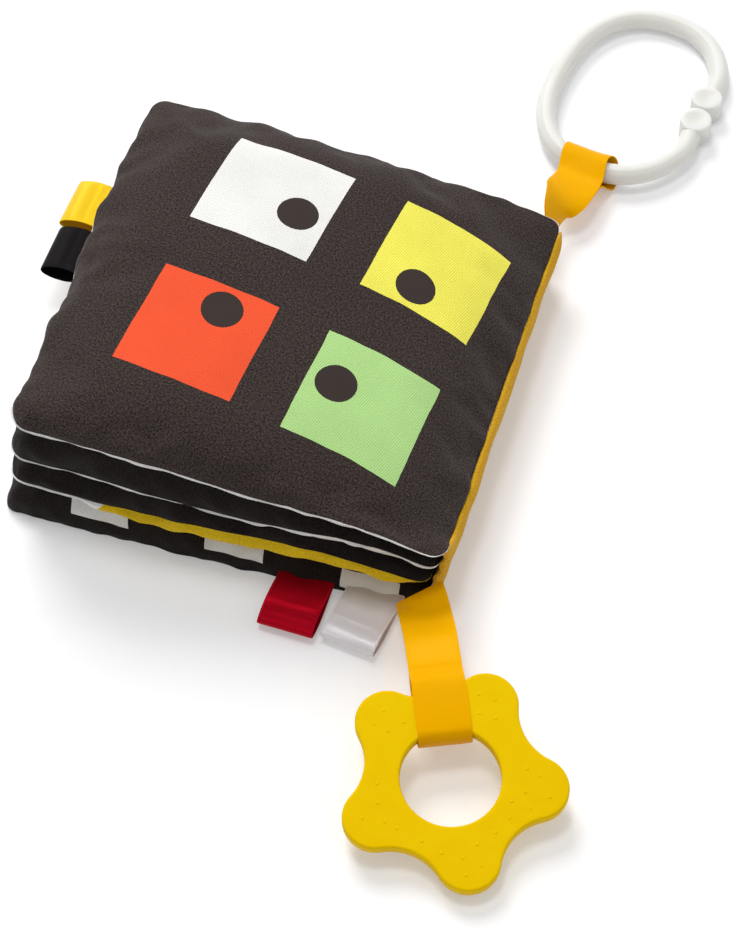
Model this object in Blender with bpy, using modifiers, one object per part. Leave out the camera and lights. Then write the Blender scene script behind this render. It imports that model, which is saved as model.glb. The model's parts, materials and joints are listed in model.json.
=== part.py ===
# Soft cloth contrast book for a baby, lying closed on its back cover, with a link ring and a teether.
#
# Four padded leaves are stacked on each other and fan open towards the fore-edge at -X. The spine is
# at +X, the head of the book at +Y and its foot at -Y. The origin is the centre of the flat underside
# of the back cover. A satin ribbon at the head end of the spine holds the link ring, and one at the
# foot end holds the teether. Four short ribbon tags stand out of the leaves' seams.

import math

import bmesh
import bpy
from mathutils import Matrix, Vector

# Clearances between pieces that touch on the real book
FIT_GAP = 0.0003
LEAF_GAP = 0.0006
WELD = 0.00001
CUT_OVERRUN = 0.002

# Leaves: level 0 is the back cover, 3 the front cover
PAGE_WIDTH = 0.130
PAGE_HEIGHT = 0.133
CORNER_RADIUS = 0.008
CLOTH_THICKNESS = 0.0008
SPINE_PITCH = 0.006
FORE_PITCHES = (0.0150, 0.0125, 0.0155, 0.0110)
SPINE_LEAN = 0.002
SEAM_RISE = 0.0022
SEAM_GAP = 0.0003
RIM_BAND = 0.0006
UPPER_EDGE = 0.020
LOWER_EDGE = 0.006
DRAW_IN = 0.0012
COVER_CROWN = 0.0018
FAN_POWER = 2.4
WADDING_CLEARANCE = 0.0006
FILM_THICKNESS = 0.0003

# Number of mesh lines on a leaf: round its edge, and between the edges
UPPER_EDGE_STEPS = 4
LOWER_EDGE_STEPS = 2
LINES_ACROSS = 6
LINES_ALONG = 3
WADDING_FIRST_LINE = 3

# Spine cloth
SPINE_CLOTH_THICKNESS = 0.0010
SPINE_END_TAB = 0.0045
SPINE_CLOTH_BEVEL = 0.0003
HINGE_CLEARANCE = 0.0003

# Satin ribbon, shared by the tags, the ring ribbon and the teether ribbon
RIBBON_THICKNESS = 0.0004
LAYER_GAP = 0.0002
FOLD_CLEARANCE = 0.00047
END_STEPS = 10

# Tags: short folded loops sewn into the seams
TAG_WIDTH = 0.018
TAG_LENGTH = 0.0205
TAG_END_RADIUS = 0.0034
TAG_TAIL = 0.003
TAG_SLOT_CLEARANCE = 0.0004
TAG_STEPS = 9
RED_TAG_FROM_SPINE = 0.0355
GREY_TAG_FROM_SPINE = 0.0147
YELLOW_TAG_FROM_HEAD = 0.0285
BLACK_TAG_FROM_HEAD = 0.0477

# Hanging ribbons: a tail sewn in the end of the spine, twisted flat, then a free strap
RIBBON_WIDTH = 0.016
TAIL_FLOOR_GAP = 0.0050
TAIL_LENGTH = 0.015
TAIL_SEWN = 0.004
TAIL_STEPS = 8
TAIL_PAGE_GAP = 0.0004
STRAP_STEPS = 6

# Link ring: a moulded oval of round section, open where its two heads meet
RING_HEADING = math.radians(79.0)
RING_RIBBON_LENGTH = 0.0405
RING_RIBBON_FLARE = 0.009
RING_LENGTH = 0.076
RING_WIDTH = 0.060
RING_TUBE = 0.0074
RING_HEAD_DIAMETER = 0.0094
RING_HEAD_THICKNESS = 0.0080
RING_HEAD_BEVEL = 0.0012
RING_HEAD_DIMPLE = 0.0008
RING_HEAD_GAP = 0.0006
RING_HEADS_ANGLE = math.radians(-77.0)
RING_STEPS = 44
RING_TURN_CLEARANCE = 0.0004

# Teether: five round petals round a finger hole
TEETHER_HEADING = math.radians(-67.5)
TEETHER_RIBBON_LENGTH = 0.0430
TEETHER_RIBBON_FLARE = 0.006
TEETHER_TILT = math.radians(9.0)
TEETHER_PETALS = 5
TEETHER_REACH = 0.033
TEETHER_PETAL_RADIUS = 0.011
TEETHER_VALLEY = 0.0235
TEETHER_HOLE = 0.014
TEETHER_THICKNESS = 0.008
TEETHER_ROUNDING = 0.0024
TEETHER_FIRST_VALLEY = math.radians(4.3)
PETAL_STEPS = 9
VALLEY_STEPS = 5
HOLE_STEPS = 36
LOOP_ROOM = 0.0007

ROUND_TOLERANCE_ANGLE = math.radians(35.0)

UP = Vector((0, 0, 1))


def clear_scene():
    for item in list(bpy.data.objects):
        bpy.data.objects.remove(item, do_unlink=True)


def make_collection(name):
    collection = bpy.data.collections.new(name)
    bpy.context.scene.collection.children.link(collection)
    return collection


def make_material(name, colour, roughness):
    material = bpy.data.materials.new(name)
    material.use_nodes = True
    shader = material.node_tree.nodes["Principled BSDF"]
    shader.inputs["Base Color"].default_value = (*colour, 1.0)
    shader.inputs["Roughness"].default_value = roughness
    shader.inputs["Metallic"].default_value = 0.0
    return material


clear_scene()
parts = make_collection("contrast_book")
cutters = make_collection("cutters")

# Colours are linear
black_cloth = make_material("black printed polyester", (0.026, 0.020, 0.018), 0.85)
checked_cloth = make_material("black polyester with white checks", (0.030, 0.025, 0.023), 0.85)
white_cloth = make_material("white polyester", (0.82, 0.80, 0.78), 0.85)
cream_cloth = make_material("white and yellow polyester", (0.80, 0.62, 0.12), 0.85)
gold_cloth = make_material("golden yellow polyester", (0.62, 0.36, 0.01), 0.85)
spine_cloth = make_material("golden yellow spine cloth", (0.58, 0.33, 0.01), 0.85)
wadding_fill = make_material("polyester wadding", (0.85, 0.85, 0.85), 0.95)
crinkle_film = make_material("crinkle film", (0.75, 0.78, 0.80), 0.25)
yellow_satin = make_material("yellow satin", (0.98, 0.58, 0.0), 0.35)
amber_satin = make_material("amber satin", (0.90, 0.46, 0.0), 0.35)
black_satin = make_material("black satin", (0.015, 0.014, 0.014), 0.35)
red_satin = make_material("red satin", (0.45, 0.005, 0.012), 0.35)
grey_satin = make_material("silver grey satin", (0.55, 0.53, 0.56), 0.35)
white_plastic = make_material("white polypropylene", (0.86, 0.86, 0.84), 0.30)
yellow_rubber = make_material("yellow teether rubber", (0.85, 0.56, 0.005), 0.45)


def add_mesh_object(name, bm, material, smooth=True):
    mesh = bpy.data.meshes.new(name)
    bm.to_mesh(mesh)
    bm.free()
    item = bpy.data.objects.new(name, mesh)
    parts.objects.link(item)
    mesh.materials.append(material)
    if smooth:
        mesh.shade_smooth()
        mesh.set_sharp_from_angle(angle=ROUND_TOLERANCE_ANGLE)
    return item


def move_origin(item, place):
    """Puts an object's origin on its joint axis and leaves its mesh where it is."""
    item.data.transform(Matrix.Translation(-place))
    item.location = place


def cut(item, cutter):
    modifier = item.modifiers.new("cut_" + cutter.name, "BOOLEAN")
    modifier.operation = "DIFFERENCE"
    modifier.solver = "EXACT"
    modifier.object = cutter


# The stack of leaves


def spine_height(level):
    return SPINE_PITCH * level


def fore_height(level):
    return sum(FORE_PITCHES[:level])


def spine_edge(level):
    return PAGE_WIDTH / 2 + SPINE_LEAN * level


def lying_width(level):
    """Width of a leaf seen from above, less than the cut page because the leaf is tilted."""
    rise = fore_height(level) - spine_height(level)
    return math.sqrt(PAGE_WIDTH ** 2 - rise ** 2)


def bed_height(level, x):
    """Height of the surface under a leaf: it rises fast from the spine, then levels out."""
    share = (spine_edge(level) - x) / lying_width(level)
    remaining = min(max(1 - share, 0), 1)
    fan = 1 - remaining ** FAN_POWER
    return spine_height(level) + (fore_height(level) - spine_height(level)) * fan


def under_height(level, x):
    if level == 0:
        return 0
    return bed_height(level, x) + LEAF_GAP / 2


def seam_height(level, x):
    return bed_height(level, x) + SEAM_RISE


def top_height(level, x, y):
    height = bed_height(level + 1, x) - LEAF_GAP / 2
    if level == 3:
        across = (x - spine_edge(3) + lying_width(3) / 2) / (lying_width(3) / 2)
        along = y / (PAGE_HEIGHT / 2)
        height += COVER_CROWN * max(1 - across ** 2, 0) * max(1 - along ** 2, 0)
    return height


def edge_share(inset, softness):
    """Share of its full rise that a stuffed leaf has at a distance in from its edge."""
    left = 1 - min(inset / softness, 1)
    return math.sqrt(1 - left ** 2)


def edge_insets(softness, steps):
    """Distances in from the edge of the mesh lines: the first two lie on the edge itself."""
    insets = [0]
    for step in range(steps + 1):
        insets.append(softness * (1 - math.cos(math.pi / 2 * step / steps)))
    return insets


def line_places(half, insets, between):
    """Places of the mesh lines from one edge of a leaf to the other, as (place, inset)."""
    places = [(-half + inset, inset) for inset in insets]
    inner = half - insets[-1]
    for step in range(1, between + 1):
        place = -inner + 2 * inner * step / (between + 1)
        places.append((place, half - abs(place)))
    places += [(half - inset, inset) for inset in reversed(insets)]
    return places


def page_point(level, x, y):
    """Rounds the corners of a flat page and draws its head, foot and fore-edge in."""
    half_x = lying_width(level) / 2
    half_y = PAGE_HEIGHT / 2
    over_x = abs(x) - (half_x - CORNER_RADIUS)
    over_y = abs(y) - (half_y - CORNER_RADIUS)
    if over_x > 0 and over_y > 0:
        pull = max(over_x, over_y) / math.hypot(over_x, over_y)
        x = math.copysign(half_x - CORNER_RADIUS + over_x * pull, x)
        y = math.copysign(half_y - CORNER_RADIUS + over_y * pull, y)
    along = y / half_y
    across = x / half_x
    towards_fore = (1 - across) / 2
    x += DRAW_IN * (1 - along ** 2) * towards_fore ** 3
    y -= DRAW_IN * (1 - across ** 2) * along ** 3
    return x + spine_edge(level) - half_x, y


def page_grid(level, softness, steps, first_line=0):
    """A grid in the page's plan, with each vertex's line number and inset from the edge."""
    insets = edge_insets(softness, steps)
    across = line_places(lying_width(level) / 2, insets, LINES_ACROSS)
    along = line_places(PAGE_HEIGHT / 2, insets, LINES_ALONG)
    if first_line:
        across = across[first_line:-first_line]
        along = along[first_line:-first_line]
    bm = bmesh.new()
    bmesh.ops.create_grid(bm, x_segments=len(across) - 1, y_segments=len(along) - 1, size=1)
    spots = {}
    for vertex in bm.verts:
        column = round((vertex.co.x + 1) / 2 * (len(across) - 1))
        row = round((vertex.co.y + 1) / 2 * (len(along) - 1))
        line = min(column, row, len(across) - 1 - column, len(along) - 1 - row)
        inset = min(across[column][1], along[row][1])
        x, y = page_point(level, across[column][0], along[row][0])
        vertex.co = (x, y, 0)
        spots[vertex] = (line, inset)
    return bm, spots


def upper_surface(level, x, y, line, inset):
    start = seam_height(level, x) + SEAM_GAP / 2
    if line == 0:
        return start
    full = top_height(level, x, y) - start - RIM_BAND
    return start + RIM_BAND + full * edge_share(inset, UPPER_EDGE)


def lower_surface(level, x, line, inset):
    start = seam_height(level, x) - SEAM_GAP / 2
    if line == 0:
        return start
    full = start - RIM_BAND - under_height(level, x)
    return start - RIM_BAND - full * edge_share(inset, LOWER_EDGE)


def add_cloth(name, level, material, upper):
    """One cloth panel of a leaf: an open puffed sheet, thickened inwards."""
    if upper:
        bm, spots = page_grid(level, UPPER_EDGE, UPPER_EDGE_STEPS)
    else:
        bm, spots = page_grid(level, LOWER_EDGE, LOWER_EDGE_STEPS)
    for vertex, (line, inset) in spots.items():
        x, y, _ = vertex.co
        if upper:
            vertex.co.z = upper_surface(level, x, y, line, inset)
        else:
            vertex.co.z = lower_surface(level, x, line, inset)
    if not upper:
        bmesh.ops.reverse_faces(bm, faces=bm.faces)
    bmesh.ops.remove_doubles(bm, verts=bm.verts, dist=WELD)
    item = add_mesh_object(name, bm, material)
    shell = item.modifiers.new("cloth", "SOLIDIFY")
    shell.thickness = CLOTH_THICKNESS
    shell.offset = -1
    return item


def add_layer(name, level, material, bottom, top):
    """A closed soft layer inside a leaf, between two height functions of (x, y, inset)."""
    bm, spots = page_grid(level, UPPER_EDGE, UPPER_EDGE_STEPS, WADDING_FIRST_LINE)
    insets = {vertex: inset for vertex, (_, inset) in spots.items()}
    for vertex, inset in insets.items():
        vertex.co.z = bottom(vertex.co.x, vertex.co.y, inset)
    sheet = {(round(v.co.x / WELD), round(v.co.y / WELD)): insets[v] for v in bm.verts}
    grown = bmesh.ops.extrude_face_region(bm, geom=list(bm.faces), use_keep_orig=True)
    for piece in grown["geom"]:
        if isinstance(piece, bmesh.types.BMVert):
            inset = sheet[(round(piece.co.x / WELD), round(piece.co.y / WELD))]
            piece.co.z = top(piece.co.x, piece.co.y, inset)
    bmesh.ops.recalc_face_normals(bm, faces=bm.faces)
    return add_mesh_object(name, bm, material)


def add_filling(prefix, level, with_film):
    """The wadding of a leaf and, above it, the film that crackles."""
    film_room = FILM_THICKNESS + FIT_GAP if with_film else 0
    skin = CLOTH_THICKNESS + WADDING_CLEARANCE

    def cloth_top(x, y, inset):
        return upper_surface(level, x, y, 1, inset) - skin

    def wadding_bottom(x, y, inset):
        return lower_surface(level, x, 1, inset) + skin

    def wadding_top(x, y, inset):
        return cloth_top(x, y, inset) - film_room

    def film_bottom(x, y, inset):
        return cloth_top(x, y, inset) - FILM_THICKNESS

    layers = [add_layer(prefix + "_wadding", level, wadding_fill, wadding_bottom, wadding_top)]
    if with_film:
        layers.append(add_layer(prefix + "_crinkle_film", level, crinkle_film, film_bottom, cloth_top))
    return layers


def hinge_place(level):
    """A leaf turns about the outer foot of its own strip of spine cloth."""
    x = spine_edge(level) + FIT_GAP + SPINE_CLOTH_THICKNESS + HINGE_CLEARANCE
    return Vector((x, 0, spine_height(level)))


def add_spine_cloth(name, level, reach):
    """The strip of spine cloth that closes one leaf, along the spine by reach either way."""
    bottom = spine_height(level) + LEAF_GAP / 2
    top = spine_height(level + 1) - LEAF_GAP / 2
    inner = spine_edge(level) + FIT_GAP
    bpy.ops.mesh.primitive_cube_add(size=1)
    item = bpy.context.object
    item.name = name
    item.data.name = name
    size = (SPINE_CLOTH_THICKNESS, 2 * reach, top - bottom)
    item.data.transform(Matrix.Diagonal((*size, 1)))
    place = Vector((inner + SPINE_CLOTH_THICKNESS / 2, 0, (bottom + top) / 2))
    item.data.transform(Matrix.Translation(place))
    item.data.materials.append(spine_cloth)
    rounding = item.modifiers.new("rounding", "BEVEL")
    rounding.width = SPINE_CLOTH_BEVEL
    rounding.segments = 1
    for collection in list(item.users_collection):
        collection.objects.unlink(item)
    parts.objects.link(item)
    return item


# Ribbons


def add_band(name, points, width_directions, width, thickness, material):
    """A flat strip that follows points, with its width along the direction given at each."""
    bm = bmesh.new()
    rings = []
    for index, point in enumerate(points):
        before = points[max(index - 1, 0)]
        after = points[min(index + 1, len(points) - 1)]
        along = (after - before).normalized()
        wide = width_directions[index].normalized()
        normal = along.cross(wide).normalized()
        corners = []
        for side, face in ((-1, -1), (1, -1), (1, 1), (-1, 1)):
            corner = point + wide * (side * width / 2) + normal * (face * thickness / 2)
            corners.append(bm.verts.new(corner))
        rings.append(corners)
    for first, second in zip(rings, rings[1:]):
        for corner in range(4):
            following = (corner + 1) % 4
            bm.faces.new((first[corner], first[following], second[following], second[corner]))
    bm.faces.new(rings[0])
    bm.faces.new(list(reversed(rings[-1])))
    bmesh.ops.recalc_face_normals(bm, faces=bm.faces)
    bmesh.ops.triangulate(bm, faces=bm.faces)
    return add_mesh_object(name, bm, material)


def loop_profile(neck_length, flare_length, full_length, neck, radius, flare_steps):
    """Side view of a folded ribbon as (distance out, height): out below, round the end, back above."""
    lower = [(0, -neck)]
    if neck_length > 0:
        lower.append((neck_length, -neck))
    for step in range(1, flare_steps + 1):
        share = step / flare_steps
        smooth_share = share * share * (3 - 2 * share)
        height = neck + (radius - neck) * smooth_share
        lower.append((neck_length + flare_length * share, -height))
    centre = neck_length + flare_length + full_length
    if full_length > 0:
        lower.append((centre, -radius))
    end = []
    for step in range(1, END_STEPS):
        angle = -math.pi / 2 + math.pi * step / END_STEPS
        end.append((centre + radius * math.cos(angle), radius * math.sin(angle)))
    upper = [(distance, -height) for distance, height in reversed(lower)]
    return lower + end + upper


def place_profile(profile, start, outward, wide):
    """Turns a side view into points in space, and the width direction at each of them."""
    normal = wide.cross(outward).normalized()
    if normal.z < 0:
        normal = -normal
    points = [start + outward * distance + normal * height for distance, height in profile]
    return points, [wide] * len(points)


NECK = (RIBBON_THICKNESS + LAYER_GAP) / 2


def add_tag(name, seam_point, outward, material):
    """A tag: a ribbon folded in half, its two tails sewn side by side in the seam."""
    wide = outward.cross(UP)
    radius = TAG_END_RADIUS - RIBBON_THICKNESS / 2
    flare = TAG_LENGTH - TAG_END_RADIUS
    profile = loop_profile(TAG_TAIL, flare, 0, NECK, radius, TAG_STEPS)
    points, widths = place_profile(profile, seam_point - outward * TAG_TAIL, outward, wide)
    return add_band(name, points, widths, TAG_WIDTH, RIBBON_THICKNESS, material)


def add_tag_slot(name, seam_point, outward, panels):
    """Opens the seam between two cloth panels for a tag's tails."""
    bpy.ops.mesh.primitive_cube_add(size=1)
    cutter = bpy.context.object
    cutter.name = name
    depth = TAG_TAIL + 2 * CUT_OVERRUN
    height = 2 * RIBBON_THICKNESS + LAYER_GAP + 2 * TAG_SLOT_CLEARANCE
    width = TAG_WIDTH + 2 * TAG_SLOT_CLEARANCE
    cutter.data.transform(Matrix.Diagonal((depth, width, height, 1)))
    cutter.location = seam_point - outward * (TAG_TAIL / 2)
    cutter.rotation_euler = (0, 0, math.atan2(outward.y, outward.x))
    cutter.hide_render = True
    cutter.display_type = "WIRE"
    for collection in list(cutter.users_collection):
        collection.objects.unlink(cutter)
    cutters.objects.link(cutter)
    for panel in panels:
        cut(panel, cutter)


def seam_point_at_foot(level, x):
    """Point on the seam at the foot edge of a leaf."""
    half_x = lying_width(level) / 2
    flat_x, y = page_point(level, x - spine_edge(level) + half_x, -PAGE_HEIGHT / 2)
    return Vector((flat_x, y, seam_height(level, flat_x)))


def seam_point_at_fore_edge(level, y):
    """Point on the seam at the fore-edge of a leaf."""
    x, flat_y = page_point(level, -lying_width(level) / 2, y)
    return Vector((x, flat_y, seam_height(level, x)))


def heading_vector(heading):
    return Vector((math.cos(heading), math.sin(heading), 0))


def tail_root(side):
    """Where a hanging ribbon is sewn, at the head end of the spine (1) or the foot end (-1)."""
    x = spine_edge(0) - RIBBON_THICKNESS - LAYER_GAP / 2
    y = side * (PAGE_HEIGHT / 2 + TAIL_PAGE_GAP)
    return Vector((x, y, TAIL_FLOOR_GAP + RIBBON_WIDTH / 2))


def strap_hinge(side, heading):
    return tail_root(side) + heading_vector(heading) * TAIL_LENGTH


def add_tail(name, side, heading):
    """The sewn end of a hanging ribbon: upright in the spine seam, twisted flat at its fold."""
    root = tail_root(side)
    sewn_end = root + Vector((0, side * TAIL_SEWN, 0))
    fold = strap_hinge(side, heading) - heading_vector(heading) * FOLD_CLEARANCE
    flat = heading_vector(heading).cross(UP) * side
    points = [root]
    widths = [UP]
    for step in range(TAIL_STEPS + 1):
        share = step / TAIL_STEPS
        turn_share = share * share * (3 - 2 * share)
        angle = math.pi / 2 * turn_share
        points.append(sewn_end.lerp(fold, share))
        widths.append(UP * math.cos(angle) + flat * math.sin(angle))
    thickness = 2 * RIBBON_THICKNESS + LAYER_GAP
    return add_band(name, points, widths, RIBBON_WIDTH, thickness, amber_satin)


# Back cover: the root of the book, lying on its flat golden underside

back_upper = add_cloth("back_cover_upper_cloth", 0, checked_cloth, upper=True)
back_lower = add_cloth("back_cover_lower_cloth", 0, gold_cloth, upper=False)
add_filling("back_cover", 0, with_film=False)
add_spine_cloth("back_cover_spine_cloth", 0, PAGE_HEIGHT / 2 + SPINE_END_TAB)

# The foot tags rise a little from the low seam, so that their loops lie on the floor
foot_lift = math.asin((TAG_END_RADIUS + FIT_GAP - SEAM_RISE) / (TAG_LENGTH - TAG_END_RADIUS))
foot = Vector((0, -math.cos(foot_lift), math.sin(foot_lift)))
for tag_name, from_spine, satin in (
    ("red_tag", RED_TAG_FROM_SPINE, red_satin),
    ("grey_tag", GREY_TAG_FROM_SPINE, grey_satin),
):
    seam = seam_point_at_foot(0, spine_edge(0) - from_spine)
    add_tag(tag_name, seam, foot, satin)
    add_tag_slot(tag_name + "_slot", seam, foot, (back_upper, back_lower))

add_tail("ring_ribbon_tail", 1, RING_HEADING)
add_tail("teether_ribbon_tail", -1, TEETHER_HEADING)


# Pages 3 and 2 and the front cover, each turning about the spine

strip_reach = PAGE_HEIGHT / 2 - CORNER_RADIUS
page_3_pieces = [
    add_cloth("page_3_upper_cloth", 1, black_cloth, upper=True),
    add_cloth("page_3_lower_cloth", 1, cream_cloth, upper=False),
    *add_filling("page_3", 1, with_film=False),
    add_spine_cloth("page_3_spine_cloth", 1, strip_reach),
]
fore = Vector((-1, 0, 0))
for tag_name, from_head, satin in (
    ("yellow_tag", YELLOW_TAG_FROM_HEAD, yellow_satin),
    ("black_tag", BLACK_TAG_FROM_HEAD, black_satin),
):
    seam = seam_point_at_fore_edge(1, PAGE_HEIGHT / 2 - from_head)
    add_tag_slot(tag_name + "_slot", seam, fore, page_3_pieces[:2])
    page_3_pieces.append(add_tag(tag_name, seam, fore, satin))

page_2_pieces = [
    add_cloth("page_2_upper_cloth", 2, black_cloth, upper=True),
    add_cloth("page_2_lower_cloth", 2, white_cloth, upper=False),
    *add_filling("page_2", 2, with_film=True),
    add_spine_cloth("page_2_spine_cloth", 2, strip_reach),
]

front_cover_pieces = [
    add_cloth("front_cover_upper_cloth", 3, black_cloth, upper=True),
    add_cloth("front_cover_lower_cloth", 3, white_cloth, upper=False),
    *add_filling("front_cover", 3, with_film=True),
]

for turning_level, turning in ((1, page_3_pieces), (2, page_2_pieces), (3, front_cover_pieces)):
    for piece in turning:
        move_origin(piece, hinge_place(turning_level))


# Link ring and its ribbon

ring_long = RING_LENGTH / 2 - RING_TUBE / 2
ring_short = RING_WIDTH / 2 - RING_TUBE / 2
ring_end_radius = ring_short ** 2 / ring_long
ring_bow = RIBBON_WIDTH ** 2 / (8 * ring_end_radius)
ring_loop_inner = RING_TUBE / 2 + ring_bow / 2 + RING_TURN_CLEARANCE
ring_loop_middle = ring_loop_inner + RIBBON_THICKNESS / 2
ring_loop_outer = ring_loop_inner + RIBBON_THICKNESS

ring_hinge = strap_hinge(1, RING_HEADING)
ring_level = heading_vector(RING_HEADING)
ring_loop_centre = tail_root(1) + ring_level * RING_RIBBON_LENGTH
ring_loop_centre.z = ring_loop_outer
ring_strap = ring_loop_centre - ring_hinge
ring_strap_way = ring_strap.normalized()
ring_wide = ring_level.cross(UP)

ring_profile = loop_profile(
    ring_strap.length - FOLD_CLEARANCE - RING_RIBBON_FLARE,
    RING_RIBBON_FLARE,
    0,
    NECK,
    ring_loop_middle,
    STRAP_STEPS,
)
ring_points, ring_widths = place_profile(
    ring_profile, ring_hinge + ring_strap_way * FOLD_CLEARANCE, ring_strap_way, ring_wide
)
ring_ribbon = add_band(
    "ring_ribbon", ring_points, ring_widths, RIBBON_WIDTH, RIBBON_THICKNESS, amber_satin
)
move_origin(ring_ribbon, ring_hinge)


def oval_point(angle):
    """Point on the ring's centreline, in its own plane, its long axis along X."""
    return Vector((ring_long * math.cos(angle), ring_short * math.sin(angle), 0))


def oval_step(angle):
    """Length of centreline for each radian of angle."""
    return math.hypot(ring_long * math.sin(angle), ring_short * math.cos(angle))


def add_ring():
    """The moulded ring, lying along X in its own frame, before it is placed."""
    half_gap = (RING_HEAD_DIAMETER + RING_HEAD_GAP) / 2 / oval_step(RING_HEADS_ANGLE)
    curve = bpy.data.curves.new("link_ring_path", "CURVE")
    curve.dimensions = "3D"
    curve.bevel_depth = RING_TUBE / 2
    curve.bevel_resolution = 3
    curve.use_fill_caps = True
    spline = curve.splines.new("POLY")
    spline.points.add(RING_STEPS)
    start = RING_HEADS_ANGLE + half_gap
    sweep = 2 * math.pi - 2 * half_gap
    for step in range(RING_STEPS + 1):
        spot = oval_point(start + sweep * step / RING_STEPS)
        spline.points[step].co = (*spot, 1)
    guide = bpy.data.objects.new("link_ring_path", curve)
    parts.objects.link(guide)
    graph = bpy.context.evaluated_depsgraph_get()
    mesh = bpy.data.meshes.new_from_object(guide.evaluated_get(graph))
    bpy.data.objects.remove(guide, do_unlink=True)
    bm = bmesh.new()
    bm.from_mesh(mesh)
    bmesh.ops.remove_doubles(bm, verts=bm.verts, dist=WELD)
    return add_mesh_object("link_ring", bm, white_plastic)


def add_ring_head(name, angle):
    """A round head on one end of the ring, with a dimple in its upper face."""
    bpy.ops.mesh.primitive_cylinder_add(
        vertices=24, radius=RING_HEAD_DIAMETER / 2, depth=RING_HEAD_THICKNESS, location=oval_point(angle)
    )
    head = bpy.context.object
    head.name = name
    rounding = head.modifiers.new("rounding", "BEVEL")
    rounding.width = RING_HEAD_BEVEL
    rounding.segments = 2
    dimple_radius = (RING_HEAD_DIAMETER ** 2 / 16 + RING_HEAD_DIMPLE ** 2) / (2 * RING_HEAD_DIMPLE)
    dimple_place = oval_point(angle) + UP * (RING_HEAD_THICKNESS / 2 + dimple_radius - RING_HEAD_DIMPLE)
    bpy.ops.mesh.primitive_uv_sphere_add(
        segments=24, ring_count=24, radius=dimple_radius, location=dimple_place
    )
    dimple = bpy.context.object
    dimple.name = name + "_dimple"
    for tool in (head, dimple):
        tool.hide_render = True
        tool.display_type = "WIRE"
        for collection in list(tool.users_collection):
            collection.objects.unlink(tool)
        cutters.objects.link(tool)
    return head, dimple


ring = add_ring()
half_head_angle = (RING_HEAD_DIAMETER + RING_HEAD_GAP) / 2 / oval_step(RING_HEADS_ANGLE)
ring_tools = []
for head_name, head_angle in (
    ("ring_head_near", RING_HEADS_ANGLE - half_head_angle),
    ("ring_head_far", RING_HEADS_ANGLE + half_head_angle),
):
    ring_tools.append(add_ring_head(head_name, head_angle))
for head, dimple in ring_tools:
    union = ring.modifiers.new("head", "BOOLEAN")
    union.operation = "UNION"
    union.solver = "EXACT"
    union.object = head
for head, dimple in ring_tools:
    cut(ring, dimple)

# The near end of the ring sits in the ribbon loop and its far end rests on the floor
ring_drop = ring_loop_outer - RING_TUBE / 2
ring_tilt = math.asin(ring_drop / (2 * ring_long))
ring_near_end = ring_loop_centre - ring_level * (ring_bow / 2)
ring_way = ring_level * math.cos(ring_tilt) - UP * math.sin(ring_tilt)
ring_centre = ring_near_end + ring_way * ring_long
ring_frame = bpy.data.objects.new("ring_frame", None)
parts.objects.link(ring_frame)
ring_frame.location = ring_loop_centre
ring_frame.rotation_euler = (0, ring_tilt, RING_HEADING)
frame_matrix = Matrix.LocRotScale(ring_loop_centre, ring_frame.rotation_euler, None)
in_frame = frame_matrix.inverted() @ ring_centre
for item in (ring, *[tool for pair in ring_tools for tool in pair]):
    item.parent = ring_frame
    item.location = item.location + in_frame


# Teether and its ribbon

rim_half = (TEETHER_REACH - TEETHER_HOLE) / 2
rim_bow = TEETHER_HOLE - math.sqrt(TEETHER_HOLE ** 2 - (RIBBON_WIDTH / 2) ** 2)
teether_loop_middle = TEETHER_THICKNESS / 2 + LOOP_ROOM + RIBBON_THICKNESS / 2
# Distances out from the teether's centre of the loop's round end and of where it starts to flare
loop_end_out = TEETHER_HOLE - rim_bow + TEETHER_THICKNESS / 2
loop_flare_out = TEETHER_VALLEY + TEETHER_THICKNESS / 2

teether_hinge = strap_hinge(-1, TEETHER_HEADING)
teether_level = heading_vector(TEETHER_HEADING)
teether_wide = teether_level.cross(UP)
teether_way = teether_level * math.cos(TEETHER_TILT) - UP * math.sin(TEETHER_TILT)
teether_height = TEETHER_REACH * math.sin(TEETHER_TILT) + TEETHER_THICKNESS / 2 * math.cos(TEETHER_TILT)
rim_middle = (TEETHER_VALLEY + TEETHER_HOLE) / 2
rim_place = tail_root(-1) + teether_level * TEETHER_RIBBON_LENGTH
teether_centre = rim_place + teether_level * (rim_middle * math.cos(TEETHER_TILT))
teether_centre.z = teether_height
swing_hinge = teether_centre - teether_way * (loop_flare_out + TEETHER_RIBBON_FLARE + FOLD_CLEARANCE)

loop_way_profile = loop_profile(
    0, TEETHER_RIBBON_FLARE, loop_flare_out - loop_end_out, NECK, teether_loop_middle, STRAP_STEPS
)
loop_points, loop_widths = place_profile(
    loop_way_profile, swing_hinge + teether_way * FOLD_CLEARANCE, teether_way, teether_wide
)
teether_loop = add_band(
    "teether_ribbon_loop", loop_points, loop_widths, RIBBON_WIDTH, RIBBON_THICKNESS, amber_satin
)
move_origin(teether_loop, swing_hinge)

strap_way = (swing_hinge - teether_hinge).normalized()
strap_points = [
    teether_hinge + strap_way * FOLD_CLEARANCE,
    teether_hinge.lerp(swing_hinge, 0.5),
    swing_hinge - strap_way * FOLD_CLEARANCE,
]
teether_ribbon = add_band(
    "teether_ribbon",
    strap_points,
    [teether_wide] * len(strap_points),
    RIBBON_WIDTH,
    2 * RIBBON_THICKNESS + LAYER_GAP,
    amber_satin,
)
move_origin(teether_ribbon, teether_hinge)


def arc_points(centre, radius, start, end, steps):
    """Points along an arc from one angle to another, without the last one."""
    points = []
    for step in range(steps):
        angle = start + (end - start) * step / steps
        points.append((centre[0] + radius * math.cos(angle), centre[1] + radius * math.sin(angle)))
    return points


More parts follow.
